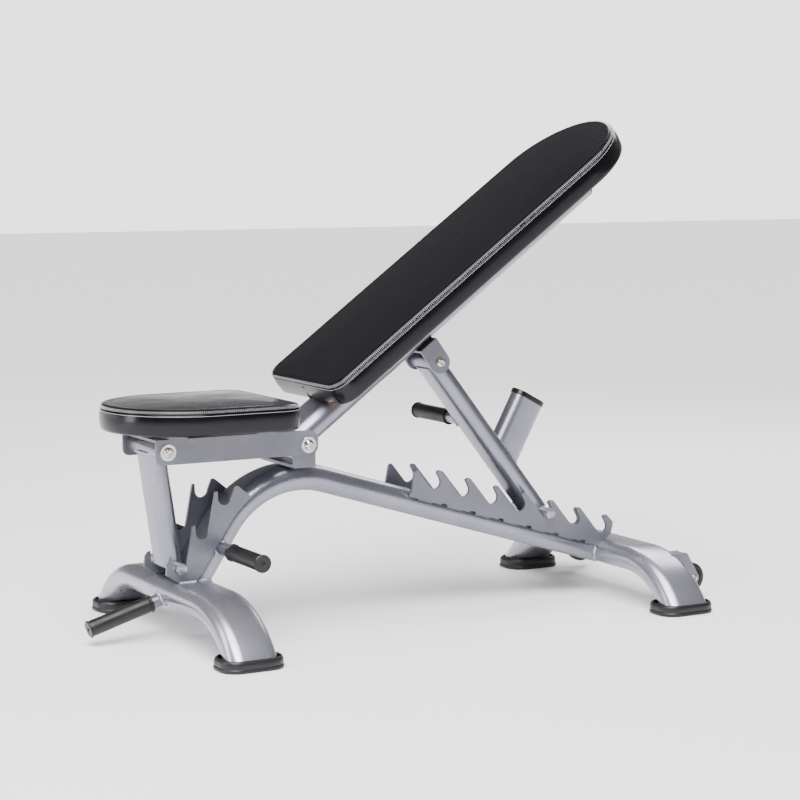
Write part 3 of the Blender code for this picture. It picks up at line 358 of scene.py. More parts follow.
def arc(x: float, y: float, radius: float, start: float, end: float, steps: int) -> list[tuple[float, float]]:
    """Points on an arc, with the angles in degrees."""
    points = []
    for step in range(steps + 1):
        angle = math.radians(start + (end - start) * step / steps)
        points.append((x + radius * math.cos(angle), y + radius * math.sin(angle)))
    return points


def flat_oval(thick: float, wide: float, steps: int = 16) -> list[tuple[float, float]]:
    """A flat-oval section, thick along its first axis and wide along its second."""
    radius = thick / 2
    straight = wide / 2 - radius
    return arc(0, straight, radius, 0, 180, steps) + arc(0, -straight, radius, 180, 360, steps)


@dataclass(frozen=True)
class Plane:
    """A flat frame for paths: places run along and up, sections stand across."""

    origin: Vector
    along: Vector
    up: Vector

    @property
    def across(self) -> Vector:
        """The plane's normal."""
        return self.along.cross(self.up)

    def at(self, x: float, y: float, z: float = 0.0) -> Vector:
        """A point of the plane in the bench's frame."""
        return self.origin + self.along * x + self.up * y + self.across * z

    @staticmethod
    def side(origin: Vector, tilt: float = 0.0) -> "Plane":
        """The bench's side plane, its first axis tilted up by an angle in radians."""
        along = Vector((math.cos(tilt), 0.0, math.sin(tilt)))
        up = Vector((-math.sin(tilt), 0.0, math.cos(tilt)))
        return Plane(origin, along, up)


@dataclass(frozen=True)
class Tube:
    """A flat-oval tube swept along a path in a plane, with its wall showing at open ends."""

    name: str
    plane: Plane
    path: Sequence[tuple[float, float]]
    thick: float
    wide: float
    wall: float = 2.5 * MM
    open_start: bool = False
    open_end: bool = False
    depth: float = 45 * MM

    def ring(self, place: tuple[float, float], heading: Vector, shrink: float = 0.0) -> Ring:
        """The section at a place of the path, square to a heading."""
        normal = Vector((-heading.y, heading.x))
        points = []
        for offset, sideways in flat_oval(self.thick - 2 * shrink, self.wide - 2 * shrink):
            points.append(self.plane.at(place[0] + normal.x * offset, place[1] + normal.y * offset, sideways))
        return points

    def build(self) -> bpy.types.Object:
        """Sweep the tube."""
        spots = [Vector(point) for point in self.path]
        rings = []
        for index, spot in enumerate(spots):
            before = spots[max(index - 1, 0)]
            after = spots[min(index + 1, len(spots) - 1)]
            rings.append(self.ring(spot, (after - before).normalized()))
        first = (spots[1] - spots[0]).normalized()
        last = (spots[-1] - spots[-2]).normalized()
        if self.open_start:
            rings.insert(0, self.ring(spots[0], first, self.wall))
            rings.insert(0, self.ring(spots[0] + first * self.depth, first, self.wall))
        if self.open_end:
            rings.append(self.ring(spots[-1], last, self.wall))
            rings.append(self.ring(spots[-1] - last * self.depth, last, self.wall))
        return loft(self.name, rings)


def turned(name: str, origin: Vector, axis: Vector, profile: Sequence[tuple[float, float]],
           steps: int = 40, closed: bool = False) -> bpy.types.Object:
    """Turn a profile of (radius, height) points about an axis.

    Args:
        name: Object name.
        origin: Where height is nought.
        axis: The axis' direction.
        profile: The points, in order along the surface.
        steps: Facets round.
        closed: The profile is a closed ring, as on a sleeve.

    Returns:
        The object.
    """
    axis = axis.normalized()
    aside = axis.orthogonal().normalized()
    other = axis.cross(aside)
    rings = []
    for radius, height in profile:
        radius = max(radius, 0.00002)
        ring = []
        for step in range(steps):
            angle = 2 * math.pi * step / steps
            ring.append(origin + axis * height + (aside * math.cos(angle) + other * math.sin(angle)) * radius)
        rings.append(ring)
    return loft(name, rings, closed=closed)


def bead(name: str, path: Sequence[Vector], radius: float, closed: bool, ripple: float = 3.2 * MM,
         seed: int = 1) -> bpy.types.Object:
    """A rippled weld bead along a path.

    Args:
        name: Object name.
        path: Points along the seam.
        radius: The bead's half width.
        closed: The seam runs all the way round.
        ripple: Distance between two ripples.
        seed: Start of the small random changes in width.

    Returns:
        The object.
    """
    spots = resample(path, ripple / 4, closed)
    rings = []
    count = len(spots)
    for index, spot in enumerate(spots):
        after = spots[(index + 1) % count] if closed else spots[min(index + 1, count - 1)]
        before = spots[index - 1] if closed or index else spots[0]
        heading = (after - before).normalized()
        aside = heading.orthogonal().normalized()
        other = heading.cross(aside)
        swell = 1 + 0.16 * math.cos(index * math.pi / 2) + 0.12 * noise.noise(spot * 160 + Vector((seed, 0, 0)))
        if not closed:
            swell *= min(1.0, 0.35 + 0.3 * min(index, count - 1 - index))
        ring = []
        for step in range(8):
            angle = math.pi * step / 4
            ring.append(spot + (aside * math.cos(angle) + other * math.sin(angle)) * radius * swell)
        rings.append(ring)
    align_rings(rings)
    return loft(name, rings, sharp=80, closed=closed)


def align_rings(rings: list[Ring]) -> None:
    """Turn each ring's numbering to lie nearest to the ring before it, so that a skin has no twist."""
    for index in range(1, len(rings)):
        before = rings[index - 1]
        ring = rings[index]
        count = len(ring)
        choices = []
        for flip in (1, -1):
            for shift in range(count):
                trial = [ring[(shift + flip * step) % count] for step in range(count)]
                far = sum((a - b).length_squared for a, b in zip(trial, before))
                choices.append((far, shift, flip))
        _, shift, flip = min(choices)
        rings[index] = [ring[(shift + flip * step) % count] for step in range(count)]


def resample(path: Sequence[Vector], step: float, closed: bool) -> list[Vector]:
    """Points at an even spacing along a path."""
    route = list(path) + ([path[0]] if closed else [])
    lengths = [(b - a).length for a, b in zip(route, route[1:])]
    total = sum(lengths)
    count = max(int(total / step), 3)
    stations = count if closed else count + 1
    spots = []
    leg = 0
    passed = 0.0
    for index in range(stations):
        goal = total * index / count
        while leg < len(lengths) - 1 and passed + lengths[leg] < goal:
            passed += lengths[leg]
            leg += 1
        share = (goal - passed) / lengths[leg] if lengths[leg] else 0.0
        spots.append(route[leg].lerp(route[leg + 1], min(max(share, 0.0), 1.0)))
    return spots


def round_size(node: str) -> tuple[float, float]:
    """Radius and half length of a round node that lies along Y."""
    low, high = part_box(node)
    return (high.x - low.x) / 2, (high.y - low.y) / 2


def ring_piece(name: str, node: str, place: Vector, soft: float, bore: float, steps: int) -> bpy.types.Object:
    """A bored disc or sleeve along Y with softened rims, the size of a node.

    Args:
        name: Object name.
        node: The node whose size it takes.
        place: Its middle.
        soft: Width of the softened rims.
        bore: Radius of the hole.
        steps: Facets round.

    Returns:
        The object.
    """
    radius, half = round_size(node)
    profile = [(radius - soft, half), (radius, half - soft), (radius, soft - half), (radius - soft, -half),
               (bore, -half), (bore, half)]
    return turned(name, place, ALONG_Y, profile, steps=steps, closed=True)


def weld(name: str, seam: Sequence[Vector], radius: float, body: str, seed: int = 1) -> None:
    """Lay a closed weld bead along a seam, if enough of its rays met the other piece."""
    if len(seam) > LEAST_SEAM:
        # The bead's lighter powder colour is a painted highlight.
        show(bead(name, seam, radius, True, seed=seed), WELD_PAINT_WITH_PAINTED_HIGHLIGHT, body)


class Surface:
    """Pieces as one target for rays, used to lay weld beads where one piece meets another."""

    def __init__(self, *pieces: bpy.types.Object) -> None:
        """Gather the pieces' faces.

        Args:
            pieces: Objects in the bench's frame.
        """
        vertices: list[Vector] = []
        faces: list[list[int]] = []
        for piece in pieces:
            start = len(vertices)
            vertices += [vertex.co.copy() for vertex in piece.data.vertices]
            faces += [[start + index for index in face.vertices] for face in piece.data.polygons]
        self.tree = BVHTree.FromPolygons(vertices, faces)

    def seam(self, outline: Iterable[Vector], heading: Vector) -> list[Vector]:
        """Where rays from an outline first meet the surface."""
        hits = []
        for point in outline:
            spot, _, _, _ = self.tree.ray_cast(point, heading.normalized())
            if spot is not None:
                hits.append(spot)
        return hits


def hexagon_radius(angle: float, across_flats: float) -> float:
    """Radius of a hexagon at an angle."""
    turn = (angle % (math.pi / 3)) - math.pi / 6
    return across_flats / 2 / math.cos(turn)


def button_head(name: str, origin: Vector, axis: Vector, radius: float, height: float,
                socket: float) -> bpy.types.Object:
    """A button-head screw with a hexagon socket, its seat at the origin.

    Args:
        name: Object name.
        origin: Middle of the head's seat.
        axis: The way the head faces.
        radius: Head radius.
        height: Head height.
        socket: Width across the socket's flats.

    Returns:
        The object.
    """
    axis = axis.normalized()
    aside = axis.orthogonal().normalized()
    other = axis.cross(aside)
    steps = 48
    dome = [(radius * 0.97, 0.0), (radius, 0.10 * height), (radius * 0.96, 0.35 * height),
            (radius * 0.86, 0.62 * height), (radius * 0.72, 0.84 * height), (radius * 0.60, 0.96 * height),
            (socket * 0.62, height)]
    rings = []
    for ring_radius, rise in dome:
        rings.append([origin + axis * rise + (aside * math.cos(a) + other * math.sin(a)) * ring_radius
                      for a in (2 * math.pi * step / steps for step in range(steps))])
    for rise in (0.97 * height, 0.30 * height):
        rings.append([origin + axis * rise + (aside * math.cos(a) + other * math.sin(a))
                      * hexagon_radius(a, socket)
                      for a in (2 * math.pi * step / steps for step in range(steps))])
    return loft(name, rings, sharp=32)


def join_as(name: str, *pieces: bpy.types.Object) -> bpy.types.Object:
    """Join pieces into one object that takes the first one's place."""
    mesh = bpy.data.meshes.new(name)
    gathered = bmesh.new()
    for piece in pieces:
        gathered.from_mesh(piece.data)
    gathered.to_mesh(mesh)
    gathered.free()
    mesh.shade_smooth()
    mesh.set_sharp_from_angle(angle=math.radians(35))
    for piece in pieces:
        bpy.data.objects.remove(piece, do_unlink=True)
    joined = bpy.data.objects.new(name, mesh)
    bpy.context.scene.collection.objects.link(joined)
    return joined


# ---- sub-assemblies -------------------------------------------------------------------------------
@dataclass
class Legs:
    """The two curved legs and their boots."""

    thick: float = 50 * MM
    wide: float = 100 * MM
    bend: float = 190 * MM
    sole: float = 12 * MM
    bend_end: float = 62.0
    boot_corner: float = 34 * MM

    def tube(self, node: str, finish: Finish) -> None:
        """One leg's tube, along the node's own arc."""
        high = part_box(node)[1]
        centre = middle_of(node)
        height = high.z - self.thick / 2
        drop = height - self.sole
        sweep = math.degrees(math.acos((self.bend - drop) / self.bend))
        outer = self.bend + self.thick / 2
        tip = outer * math.sin(math.acos((self.bend - drop) / outer))
        flat = high.y - tip
        end = max(sweep, self.bend_end - 3)
        path = arc(-flat, height - self.bend, self.bend, 90 + end, 90, 22)
        path += arc(flat, height - self.bend, self.bend, 90, 90 - end, 22)
        plane = Plane(Vector((centre.x, 0, 0)), ALONG_Y, Vector((0, 0, 1)))
        tube = Tube(node + "_drawn", plane, path, self.thick, self.wide).build()
        self.trim_below(tube, self.sole)
        show(tube, finish, "root", node, slot="frame_paint")

    @staticmethod
    def trim_below(piece: bpy.types.Object, height: float) -> None:
        """Cut a piece off level and cap it."""
        cut = bmesh.new()
        cut.from_mesh(piece.data)
        everything = cut.verts[:] + cut.edges[:] + cut.faces[:]
        result = bmesh.ops.bisect_plane(cut, geom=everything, plane_co=(0, 0, height), plane_no=(0, 0, -1),
                                        clear_outer=True)
        edges = [item for item in result["geom_cut"] if isinstance(item, bmesh.types.BMEdge)]
        bmesh.ops.holes_fill(cut, edges=edges)
        cut.to_mesh(piece.data)
        cut.free()

    def boot(self, node: str) -> None:
        """A boot with a rolled lip and a stepped sole."""
        low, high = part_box(node)
        centre = (low + high) / 2
        half_x = (high.x - low.x) / 2
        half_y = (high.y - low.y) / 2
        tall = high.z - low.z
        levels = [(-6.0, 0.0), (-2.2, 0.0), (-0.6, 0.8), (0.0, 2.4), (0.0, 5.4), (-0.8, 7.0), (-1.6, 7.8),
                  (-1.2, 9.4), (-1.0, 14.0), (-1.6, 18.0), (-3.0, 21.0), (-5.0, 22.4), (-6.6, 22.2),
                  (-7.4, 20.6), (-7.6, 15.0)]
        rings = []
        for grow, rise in levels:
            ring = []
            reach = grow * MM
            corner = self.boot_corner + reach
            spans = ((1, 1, 0), (-1, 1, 90), (-1, -1, 180), (1, -1, 270))
            for side_x, side_y, start in spans:
                corner_x = side_x * (half_x - self.boot_corner)
                corner_y = side_y * (half_y - self.boot_corner)
                for x, y in arc(corner_x, corner_y, corner, start, start + 90, 10):
                    ring.append(Vector((centre.x + x, centre.y + y, low.z + rise * MM * tall / (30 * MM))))
            rings.append(ring)
        boot = loft(node + "_moulded", rings, sharp=50)
        show(boot, BOOT_RUBBER, "root", node, slot="rubber")

    def build(self) -> None:
        """Both legs and four boots."""
        for leg in ("front_leg", "rear_leg"):
            # The legs get the lighter copy of the tube powder, which is painted light.
            self.tube(leg + "_tube", LIT_LEG_PAINT)
            for side in ("left", "right"):
                self.boot(f"{leg}_boot_{side}")


@dataclass
class Spine:
    """The arched spine and the welds on it."""

    thick: float = 50 * MM
    wide: float = 100 * MM
    crown: float = 185 * MM
    crown_after_leg: float = 236 * MM
    slope: float = 16.9
    rake: float = 57.0
    ladder_edge: float = 9.1 * MM
    notch_pitch: float = 69.7 * MM
    first_notch: float = 229.2 * MM
    notches: int = 7
    tack_ahead: float = 19 * MM
    tack_behind: float = 17 * MM
    tube: Optional[bpy.types.Object] = None

    def path(self) -> list[tuple[float, float]]:
        """Centre line in the side plane."""
        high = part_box("spine_tube")[1]
        leg = middle_of("front_leg_tube").x
        rear = middle_of("rear_leg_tube").x
        centre_x = leg + self.crown_after_leg
        centre_z = high.z - self.thick / 2 - self.crown
        bend = arc(centre_x, centre_z, self.crown, 90 + self.rake, 90 - self.slope, 36)
        start_x, start_z = bend[0]
        leg_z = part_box("front_leg_tube")[1].z - self.thick / 2
        foot = (start_x - (start_z - leg_z) / math.tan(math.radians(self.rake)), leg_z)
        end_x, end_z = bend[-1]
        run = rear - 0.5 * self.thick - end_x
        end = (end_x + run, end_z - run * math.tan(math.radians(self.slope)))
        return [foot] + bend + [end]

    def build(self) -> None:
        """The tube and the welds that join it to the legs and the ladder plates."""
        plane = Plane.side(Vector((0, 0, 0)))
        self.tube = Tube("spine_tube_drawn", plane, self.path(), self.thick, self.wide).build()
        show(self.tube, TUBE_PAINT, "root", "spine_tube", slot="frame_paint")
        self.weld_to_legs()
        self.weld_ladders()

    def section_outline(self, place: Vector, heading: Vector, grow: float) -> list[Vector]:
        """The tube's outline at a place, for rays along a heading."""
        across = ALONG_Y
        normal = heading.cross(across).normalized()
        return [place + normal * a + across * b for a, b in flat_oval(self.thick + grow, self.wide + grow, 10)]

    def weld_to_legs(self) -> None:
        """The ring seams where the spine stands on each leg."""
        path = self.path()
        ends = (("front_leg_tube", path[0], path[1]), ("rear_leg_tube", path[-1], path[-2]))
        for node, foot, back in ends:
            start = Vector((back[0], 0, back[1]))
            heading = (Vector((foot[0], 0, foot[1])) - start).normalized()
            start = Vector((foot[0], 0, foot[1])) - heading * 0.09
            surface = Surface(bpy.data.objects[node + "_drawn"])
            seam = surface.seam(self.section_outline(start, heading, 1 * MM), heading)
            weld(node + "_weld", seam, 3.8 * MM, "root")

    def weld_ladders(self) -> None:
        """Stitch welds between the tube and the ladder plates' lower edges, and their end tacks."""
        rear_start = Vector((self.path()[-2][0], 0, self.path()[-2][1]))
        slope = math.radians(-self.slope)
        along = Vector((math.cos(slope), 0, math.sin(slope)))
        up = Vector((-math.sin(slope), 0, math.cos(slope)))
        for side, sign in (("left", -1), ("right", 1)):
            low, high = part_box(f"back_ladder_plate_{side}")
            outer = sign * max(abs(low.y), abs(high.y))
            for index in range(self.notches):
                middle = self.first_notch + self.notch_pitch * (index - 0.12)
                spots = [rear_start + along * reach + up * self.ladder_edge
                         for reach in (middle - self.tack_ahead, middle + self.tack_behind)]
                points = [Vector((spot.x, outer - sign * 3.2 * MM, spot.z)) for spot in spots]
                tack = bead(f"back_ladder_tack_{side}_{index + 1}", points, 1.9 * MM, False, seed=index)
                show(tack, PLATE_PAINT, "root")
            leg = middle_of("front_leg_tube").x
            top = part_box("front_leg_tube")[1].z
            points = [Vector((leg + reach, outer, top - 0.5 * MM)) for reach in (-29 * MM, 6 * MM)]
            # This bead also takes the lighter powder colour, a painted highlight.
            show(bead(f"seat_ladder_foot_weld_{side}", points, 3.6 * MM, False, seed=31), WELD_PAINT_WITH_PAINTED_HIGHLIGHT, "root")


@dataclass
class Handle:
    """A round rod and its ribbed grip."""

    name: str
    body: str
    axis: Vector
    rod: float = 25 * MM
    grip: float = 30 * MM
    flange: float = 34 * MM
    rib_pitch: float = 2.6 * MM
    rib_deep: float = 0.45 * MM

    def build(self, host: bpy.types.Object) -> None:
        """Rod, grip and the weld on the host tube.

        Args:
            host: The tube that the rod is welded to.
        """
        axis = self.axis.normalized()
        grip_node = frame["nodes"][self.name + "_grip"]
        rod_node = frame["nodes"][self.name + "_tube"]
        middle = sum((vertex.co for vertex in grip_node.data.vertices), Vector()) / len(grip_node.data.vertices)
        reaches = [(vertex.co - middle).dot(axis) for vertex in grip_node.data.vertices]
        rod_reaches = [(vertex.co - middle).dot(axis) for vertex in rod_node.data.vertices]
        outer, inner = max(reaches), min(reaches)
        line = middle - axis * (middle - grip_middle(grip_node, axis)).dot(axis)
        start = min(rod_reaches) - 6 * MM
        rod = turned(self.name + "_rod", line, axis,
                     [(self.rod / 2, max(rod_reaches) - 4 * MM), (self.rod / 2, start)])
        show(rod, TUBE_PAINT, self.body, self.name + "_tube", slot="frame_paint")
        self.build_grip(line, axis, inner, outer)
        probe = [line + axis * (inner - 2 * MM) + spoke for spoke in self.spokes(axis)]
        seam = Surface(host).seam(probe, -axis)
        weld(self.name + "_weld", seam, 3.4 * MM, self.body, seed=5)

    def spokes(self, axis: Vector) -> list[Vector]:
        """Points round the rod, for weld rays."""
        aside = axis.orthogonal().normalized()
        other = axis.cross(aside)
        radius = self.rod / 2 + 0.4 * MM
        turns = [2 * math.pi * step / 28 for step in range(28)]
        return [(aside * math.cos(turn) + other * math.sin(turn)) * radius for turn in turns]

    def build_grip(self, line: Vector, axis: Vector, inner: float, outer: float) -> None:
        """The ribbed rubber grip, with a small hole in its end."""
        grip = self.grip / 2
        flange = self.flange / 2
        profile = [(self.rod / 2 + 0.3 * MM, inner + 1 * MM), (grip, inner), (flange - 0.8 * MM, inner),
                   (flange, inner + 0.8 * MM), (flange, inner + 3.2 * MM), (flange - 0.8 * MM, inner + 4 * MM),
                   (grip, inner + 4.6 * MM)]
        height = inner + 7 * MM
        while height < outer - 9 * MM:
            rib = ((0.0, 0.0), (self.rib_deep, 0.3), (self.rib_deep, 0.55), (0.0, 0.85))
            profile += [(grip + proud, height + share * self.rib_pitch) for proud, share in rib]
            height += self.rib_pitch
        profile += [(grip, outer - 5 * MM), (flange - 1 * MM, outer - 4.4 * MM), (flange, outer - 3.6 * MM),
                    (flange, outer - 1.2 * MM), (flange - 1.4 * MM, outer), (4.2 * MM, outer),
                    (3.6 * MM, outer - 0.6 * MM), (3.4 * MM, outer - 2.6 * MM)]
        piece = turned(self.name + "_ribbed_grip", line, axis, profile, steps=36)
        show(piece, GRIP_RUBBER, self.body, self.name + "_grip", slot="rubber")


def grip_middle(node: bpy.types.Object, axis: Vector) -> Vector:
    """The middle of a node along and about an axis, from its outermost points."""
    aside = axis.orthogonal().normalized()
    other = axis.cross(aside)
    middle = Vector()
    for way in (axis, aside, other):
        reaches = [vertex.co.dot(way) for vertex in node.data.vertices]
        middle += way * (max(reaches) + min(reaches)) / 2
    return middle


@dataclass
class Strut:
    """A flat-oval strut between its sleeve and its crossbar."""

    name: str
    body: str
    wide: float = 75 * MM
    thick: float = 40 * MM
    tube: Optional[bpy.types.Object] = None
    plane: Optional[Plane] = None
    length: float = 0.0

    def build(self) -> None:
        """Tube, sleeve, crossbar and welds."""
        pivot = middle_of(self.name + "_sleeve")
        foot = middle_of(self.name + "_crossbar")
        run = foot - pivot
        self.length = run.length
        self.plane = Plane.side(pivot, math.atan2(run.z, run.x))
        path = [(4 * MM, 0.0), (self.length - 3 * MM, 0.0)]
        self.tube = Tube(self.name + "_drawn", self.plane, path, self.thick, self.wide, open_end=True,
                         depth=30 * MM).build()
        show(self.tube, TUBE_PAINT, self.body, self.name + "_tube", slot="frame_paint")
        self.round_bar("_sleeve", TUBE_PAINT, hollow=True)
        self.round_bar("_crossbar", BAR_PAINT, hollow=False)
        self.weld_end("_sleeve", -1)

    def round_bar(self, part: str, finish: Finish, hollow: bool) -> None:
        """A sleeve or a crossbar with softened ends."""
        node = self.name + part
        radius, half = round_size(node)
        soft = 1.2 * MM
        profile = [(radius - soft, half), (radius - 0.3 * soft, half - 0.3 * soft), (radius, half - soft),
                   (radius, -half + soft), (radius - 0.3 * soft, -half + 0.3 * soft), (radius - soft, -half)]
        if hollow:
            profile += [(BOLT_HOLE, -half), (BOLT_HOLE, half)]
        piece = turned(node + "_turned", middle_of(node), ALONG_Y, profile, closed=hollow)
        slot = "frame_paint" if hollow else "crossbar_steel"
        show(piece, finish, self.body, node, slot=slot)

    def weld_end(self, part: str, sign: int) -> None:
        """The seam between the tube and the round bar at one end."""
        target = bpy.data.objects[self.name + part + "_turned"]
        start = 60 * MM if sign < 0 else self.length - 60 * MM
        outline = [self.plane.at(start, a, b) for a, b in flat_oval(self.thick * 0.78, self.wide + 1 * MM, 10)]
        seam = Surface(target).seam(outline, self.plane.along * sign)
        weld(self.name + "_sleeve_weld", seam, 2.4 * MM, self.body, seed=9)


@dataclass
class Fasteners:
    """Bolts along Y with button heads on the left, nuts on the right, and washers."""

    head: float = 10 * MM
    head_tall: float = 6.5 * MM
    socket: float = 8 * MM

    def build_set(self, name: str, body: str, washers: bool) -> None:
        """One bolt with what it clamps."""
        low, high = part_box(name + "_bolt")
        axis_spot = middle_of(name + "_bolt")
        seat = Vector((axis_spot.x, low.y + self.head_tall, axis_spot.z))
        head = button_head(name + "_head", seat, Vector((0, -1, 0)), self.head, self.head_tall, self.socket)
        reach = high.y - seat.y
        shank = turned(name + "_shank", seat, ALONG_Y,
                       [(6 * MM, -1 * MM), (6 * MM, reach - 1 * MM), (5.2 * MM, reach)], steps=32)
        show(join_as(name + "_button_bolt", head, shank), ZINC, body, name + "_bolt", slot="fasteners")
        if washers:
            for side in ("left", "right"):
                self.washer(f"{name}_washer_{side}", body)
        self.nut(name + "_nut", body)

    def washer(self, node: str, body: str) -> None:
        """A flat washer with softened rims."""
        piece = ring_piece(node + "_flat", node, middle_of(node), 0.4 * MM, BOLT_HOLE, 56)
        show(piece, ZINC, body, node, slot="fasteners")

    def nut(self, node: str, body: str) -> None:
        """A lock nut: a chamfered hexagon under a round collar."""
        low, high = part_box(node)
        centre = middle_of(node)
        tall = high.y - low.y
        flats = (high.x - low.x) * math.cos(math.pi / 6)
        steps = 48
        rings = []
        for share, limit in ((0.0, 0.94), (0.06, 1.02), (0.6, 1.02), (0.68, 0.92)):
            ring = []
            for step in range(steps):
                angle = 2 * math.pi * step / steps
                radius = min(hexagon_radius(angle + math.pi / 6, flats), limit * (high.x - low.x) / 2)
                ring.append(Vector((centre.x + radius * math.cos(angle), low.y + share * tall,
                                    centre.z + radius * math.sin(angle))))
            rings.append(ring)
        collar = ((7.6 * MM, 0.69), (7.4 * MM, 0.93), (6.6 * MM, 1.0), (6.05 * MM, 1.0), (6.05 * MM, 0.0))
        for radius, share in collar:
            ring = []
            for step in range(steps):
                angle = 2 * math.pi * step / steps
                ring.append(Vector((centre.x + radius * math.cos(angle), low.y + share * tall,
                                    centre.z + radius * math.sin(angle))))
            rings.append(ring)
        show(loft(node + "_hexagon", rings, closed=True), ZINC, body, node, slot="fasteners")

    def build(self) -> None:
        """All three pivots' fasteners and the thrust bushes."""
        self.build_set("main_pivot", "root", washers=True)
        self.build_set("seat_strut", "seat", washers=True)
        self.build_set("back_strut", "back", washers=False)
        for side in ("left", "right"):
            node = f"thrust_bush_{side}"
            piece = ring_piece(node + "_moulded", node, middle_of(node), 0.5 * MM, BOLT_HOLE, 48)
            show(piece, NYLON, "root", node, slot="bush_plastic")


@dataclass
class Pad:
    """An upholstered pad: a top panel sewn to a boxing band, over foam on a plywood board.

    The plan runs along the pad from a square end with round corners to a half-round nose.
    """

    name: str
    body: str
    square_end: float
    nose: float
    wide: float
    corner: float
    plane: Plane
    thick: float = 50 * MM
    crown: float = 2.6 * MM
    seam_height: float = 41 * MM
    stitch_pitch: float = 3.7 * MM
    board_inset: float = 14 * MM
    board_thick: float = 12.6 * MM
    seed: int = 3
    outline: list[tuple[Vector, Vector]] = field(default_factory=list)

    def __post_init__(self) -> None:
        """Lay out the plan once."""
        self.outline = self.plan()

    def plan(self) -> list[tuple[Vector, Vector]]:
        """Points of the plan with their outward normals, evenly enough spaced for pleats and stitches."""
        towards = 1 if self.nose > self.square_end else -1
        half = self.wide / 2
        centre = self.nose - towards * half
        points: list[tuple[Vector, Vector]] = []

        def corner_arc(x: float, y: float, radius: float, start: float, end: float, steps: int) -> None:
            """Add a round stretch of the plan."""
            for step in range(steps + 1):
                turn = math.radians(start + (end - start) * step / steps)
                normal = Vector((math.cos(turn) * towards, math.sin(turn)))
                points.append((Vector((x, y)) + normal * radius, normal))

        def straight(x0: float, y0: float, x1: float, y1: float, normal: Vector, step: float) -> None:
            """Add a straight stretch of the plan, without its ends."""
            count = max(int(Vector((x1 - x0, y1 - y0)).length / step), 2)
            for index in range(1, count):
                share = index / count
                points.append((Vector((x0 + (x1 - x0) * share, y0 + (y1 - y0) * share)), normal))

        inner = self.square_end + towards * self.corner
        inner_y = half - self.corner
        step = 9 * MM
        corner_arc(centre, 0, half, -90, 90, 52)
        straight(centre, half, inner, half, Vector((0, 1)), step)
        corner_arc(inner, inner_y, self.corner, 90, 180, 12)
        straight(self.square_end, inner_y, self.square_end, -inner_y, Vector((-towards, 0)), step)
        corner_arc(inner, -inner_y, self.corner, 180, 270, 12)
        straight(inner, -half, centre, -half, Vector((0, -1)), step)
        return points

    def lift(self, place: Vector, height: float) -> Vector:
        """A plan point at a height over the underside, in the bench's frame."""
        return self.plane.origin + self.plane.along * place.x + ALONG_Y * place.y + self.plane.up * height

    def bulge(self, place: Vector, height: float) -> float:
        """Small unevenness of the foam, in metres."""
        spot = Vector((place.x * 7, place.y * 7, height * 18 + self.seed))
        return 0.45 * MM * noise.noise(spot) + 0.18 * MM * noise.noise(spot * 4.3)

    def edge_ring(self, inset: float, height: float, pleats: float = 0.0) -> Ring:
        """A ring at an inset from the plan, with corner pleats where the vinyl is gathered."""
        ring = []
        for index, (place, normal) in enumerate(self.outline):
            wander = self.bulge(place, height)
            gathered = pleats * 0.5 * MM * math.sin(index * 1.9)
            ring.append(self.lift(place - normal * (inset - wander + gathered), height))
        return ring

    def middle_line(self, place: Vector) -> Vector:
        """The nearest point of the pad's middle line."""
        half = self.wide / 2
        low, high = sorted((self.square_end + math.copysign(half * 0.75, self.nose - self.square_end),
                            self.nose - math.copysign(half, self.nose - self.square_end)))
        return Vector((min(max(place.x, low), high), 0))

    def top_ring(self, share: float, inset: float) -> Ring:
        """A ring of the top panel, drawn in towards the pad's middle line."""
        ring = []
        for place, normal in self.outline:
            edge = place - normal * inset
            core = self.middle_line(edge)
            spot = core + (edge - core) * share
            height = self.thick - 0.6 * MM + self.crown * (1 - share ** 2.2) + self.bulge(spot, 1.0)
            ring.append(self.lift(spot, height))
        return ring

    def shell(self) -> bpy.types.Object:
        """The vinyl: underside, boxing band, seam groove, rolled edge and crowned top."""
        seam = self.seam_height
        inset = self.board_inset
        rings = [self.edge_ring(inset + 1 * MM, self.board_thick), self.edge_ring(inset, self.board_thick),
                 self.edge_ring(inset, 1.0 * MM), self.edge_ring(inset - 0.8 * MM, 0.1 * MM),
                 self.edge_ring(8 * MM, 0.0), self.edge_ring(4.0 * MM, 0.5 * MM),
                 self.edge_ring(1.8 * MM, 2.6 * MM), self.edge_ring(0.7 * MM, 6 * MM),
                 self.edge_ring(0.1 * MM, 12 * MM), self.edge_ring(-0.7 * MM, 20 * MM),
                 self.edge_ring(-0.7 * MM, 28 * MM), self.edge_ring(-0.1 * MM, 34 * MM),
                 self.edge_ring(0.5 * MM, seam - 3.2 * MM, 0.2), self.edge_ring(0.9 * MM, seam - 1.4 * MM, 0.4),
                 self.edge_ring(2.4 * MM, seam - 0.5 * MM, 0.5), self.edge_ring(2.6 * MM, seam + 0.2 * MM, 0.5),
                 self.edge_ring(1.0 * MM, seam + 0.9 * MM, 0.4), self.edge_ring(0.9 * MM, seam + 2.2 * MM, 0.3)]
        for turn in (20, 38, 56, 72, 84):
            angle = math.radians(turn)
            roll = 6.2 * MM
            rings.append(self.edge_ring(1.1 * MM + 9.5 * MM * (1 - math.cos(angle)),
                                        seam + 2.4 * MM + roll * math.sin(angle), 0.12))
        inset_top = 16 * MM
        for share in (1.0, 0.92, 0.82, 0.68, 0.52, 0.36, 0.2, 0.08, 0.01):
            rings.append(self.top_ring(share, inset_top))
        return loft(f"{self.name}_upholstery", rings, sharp=60)

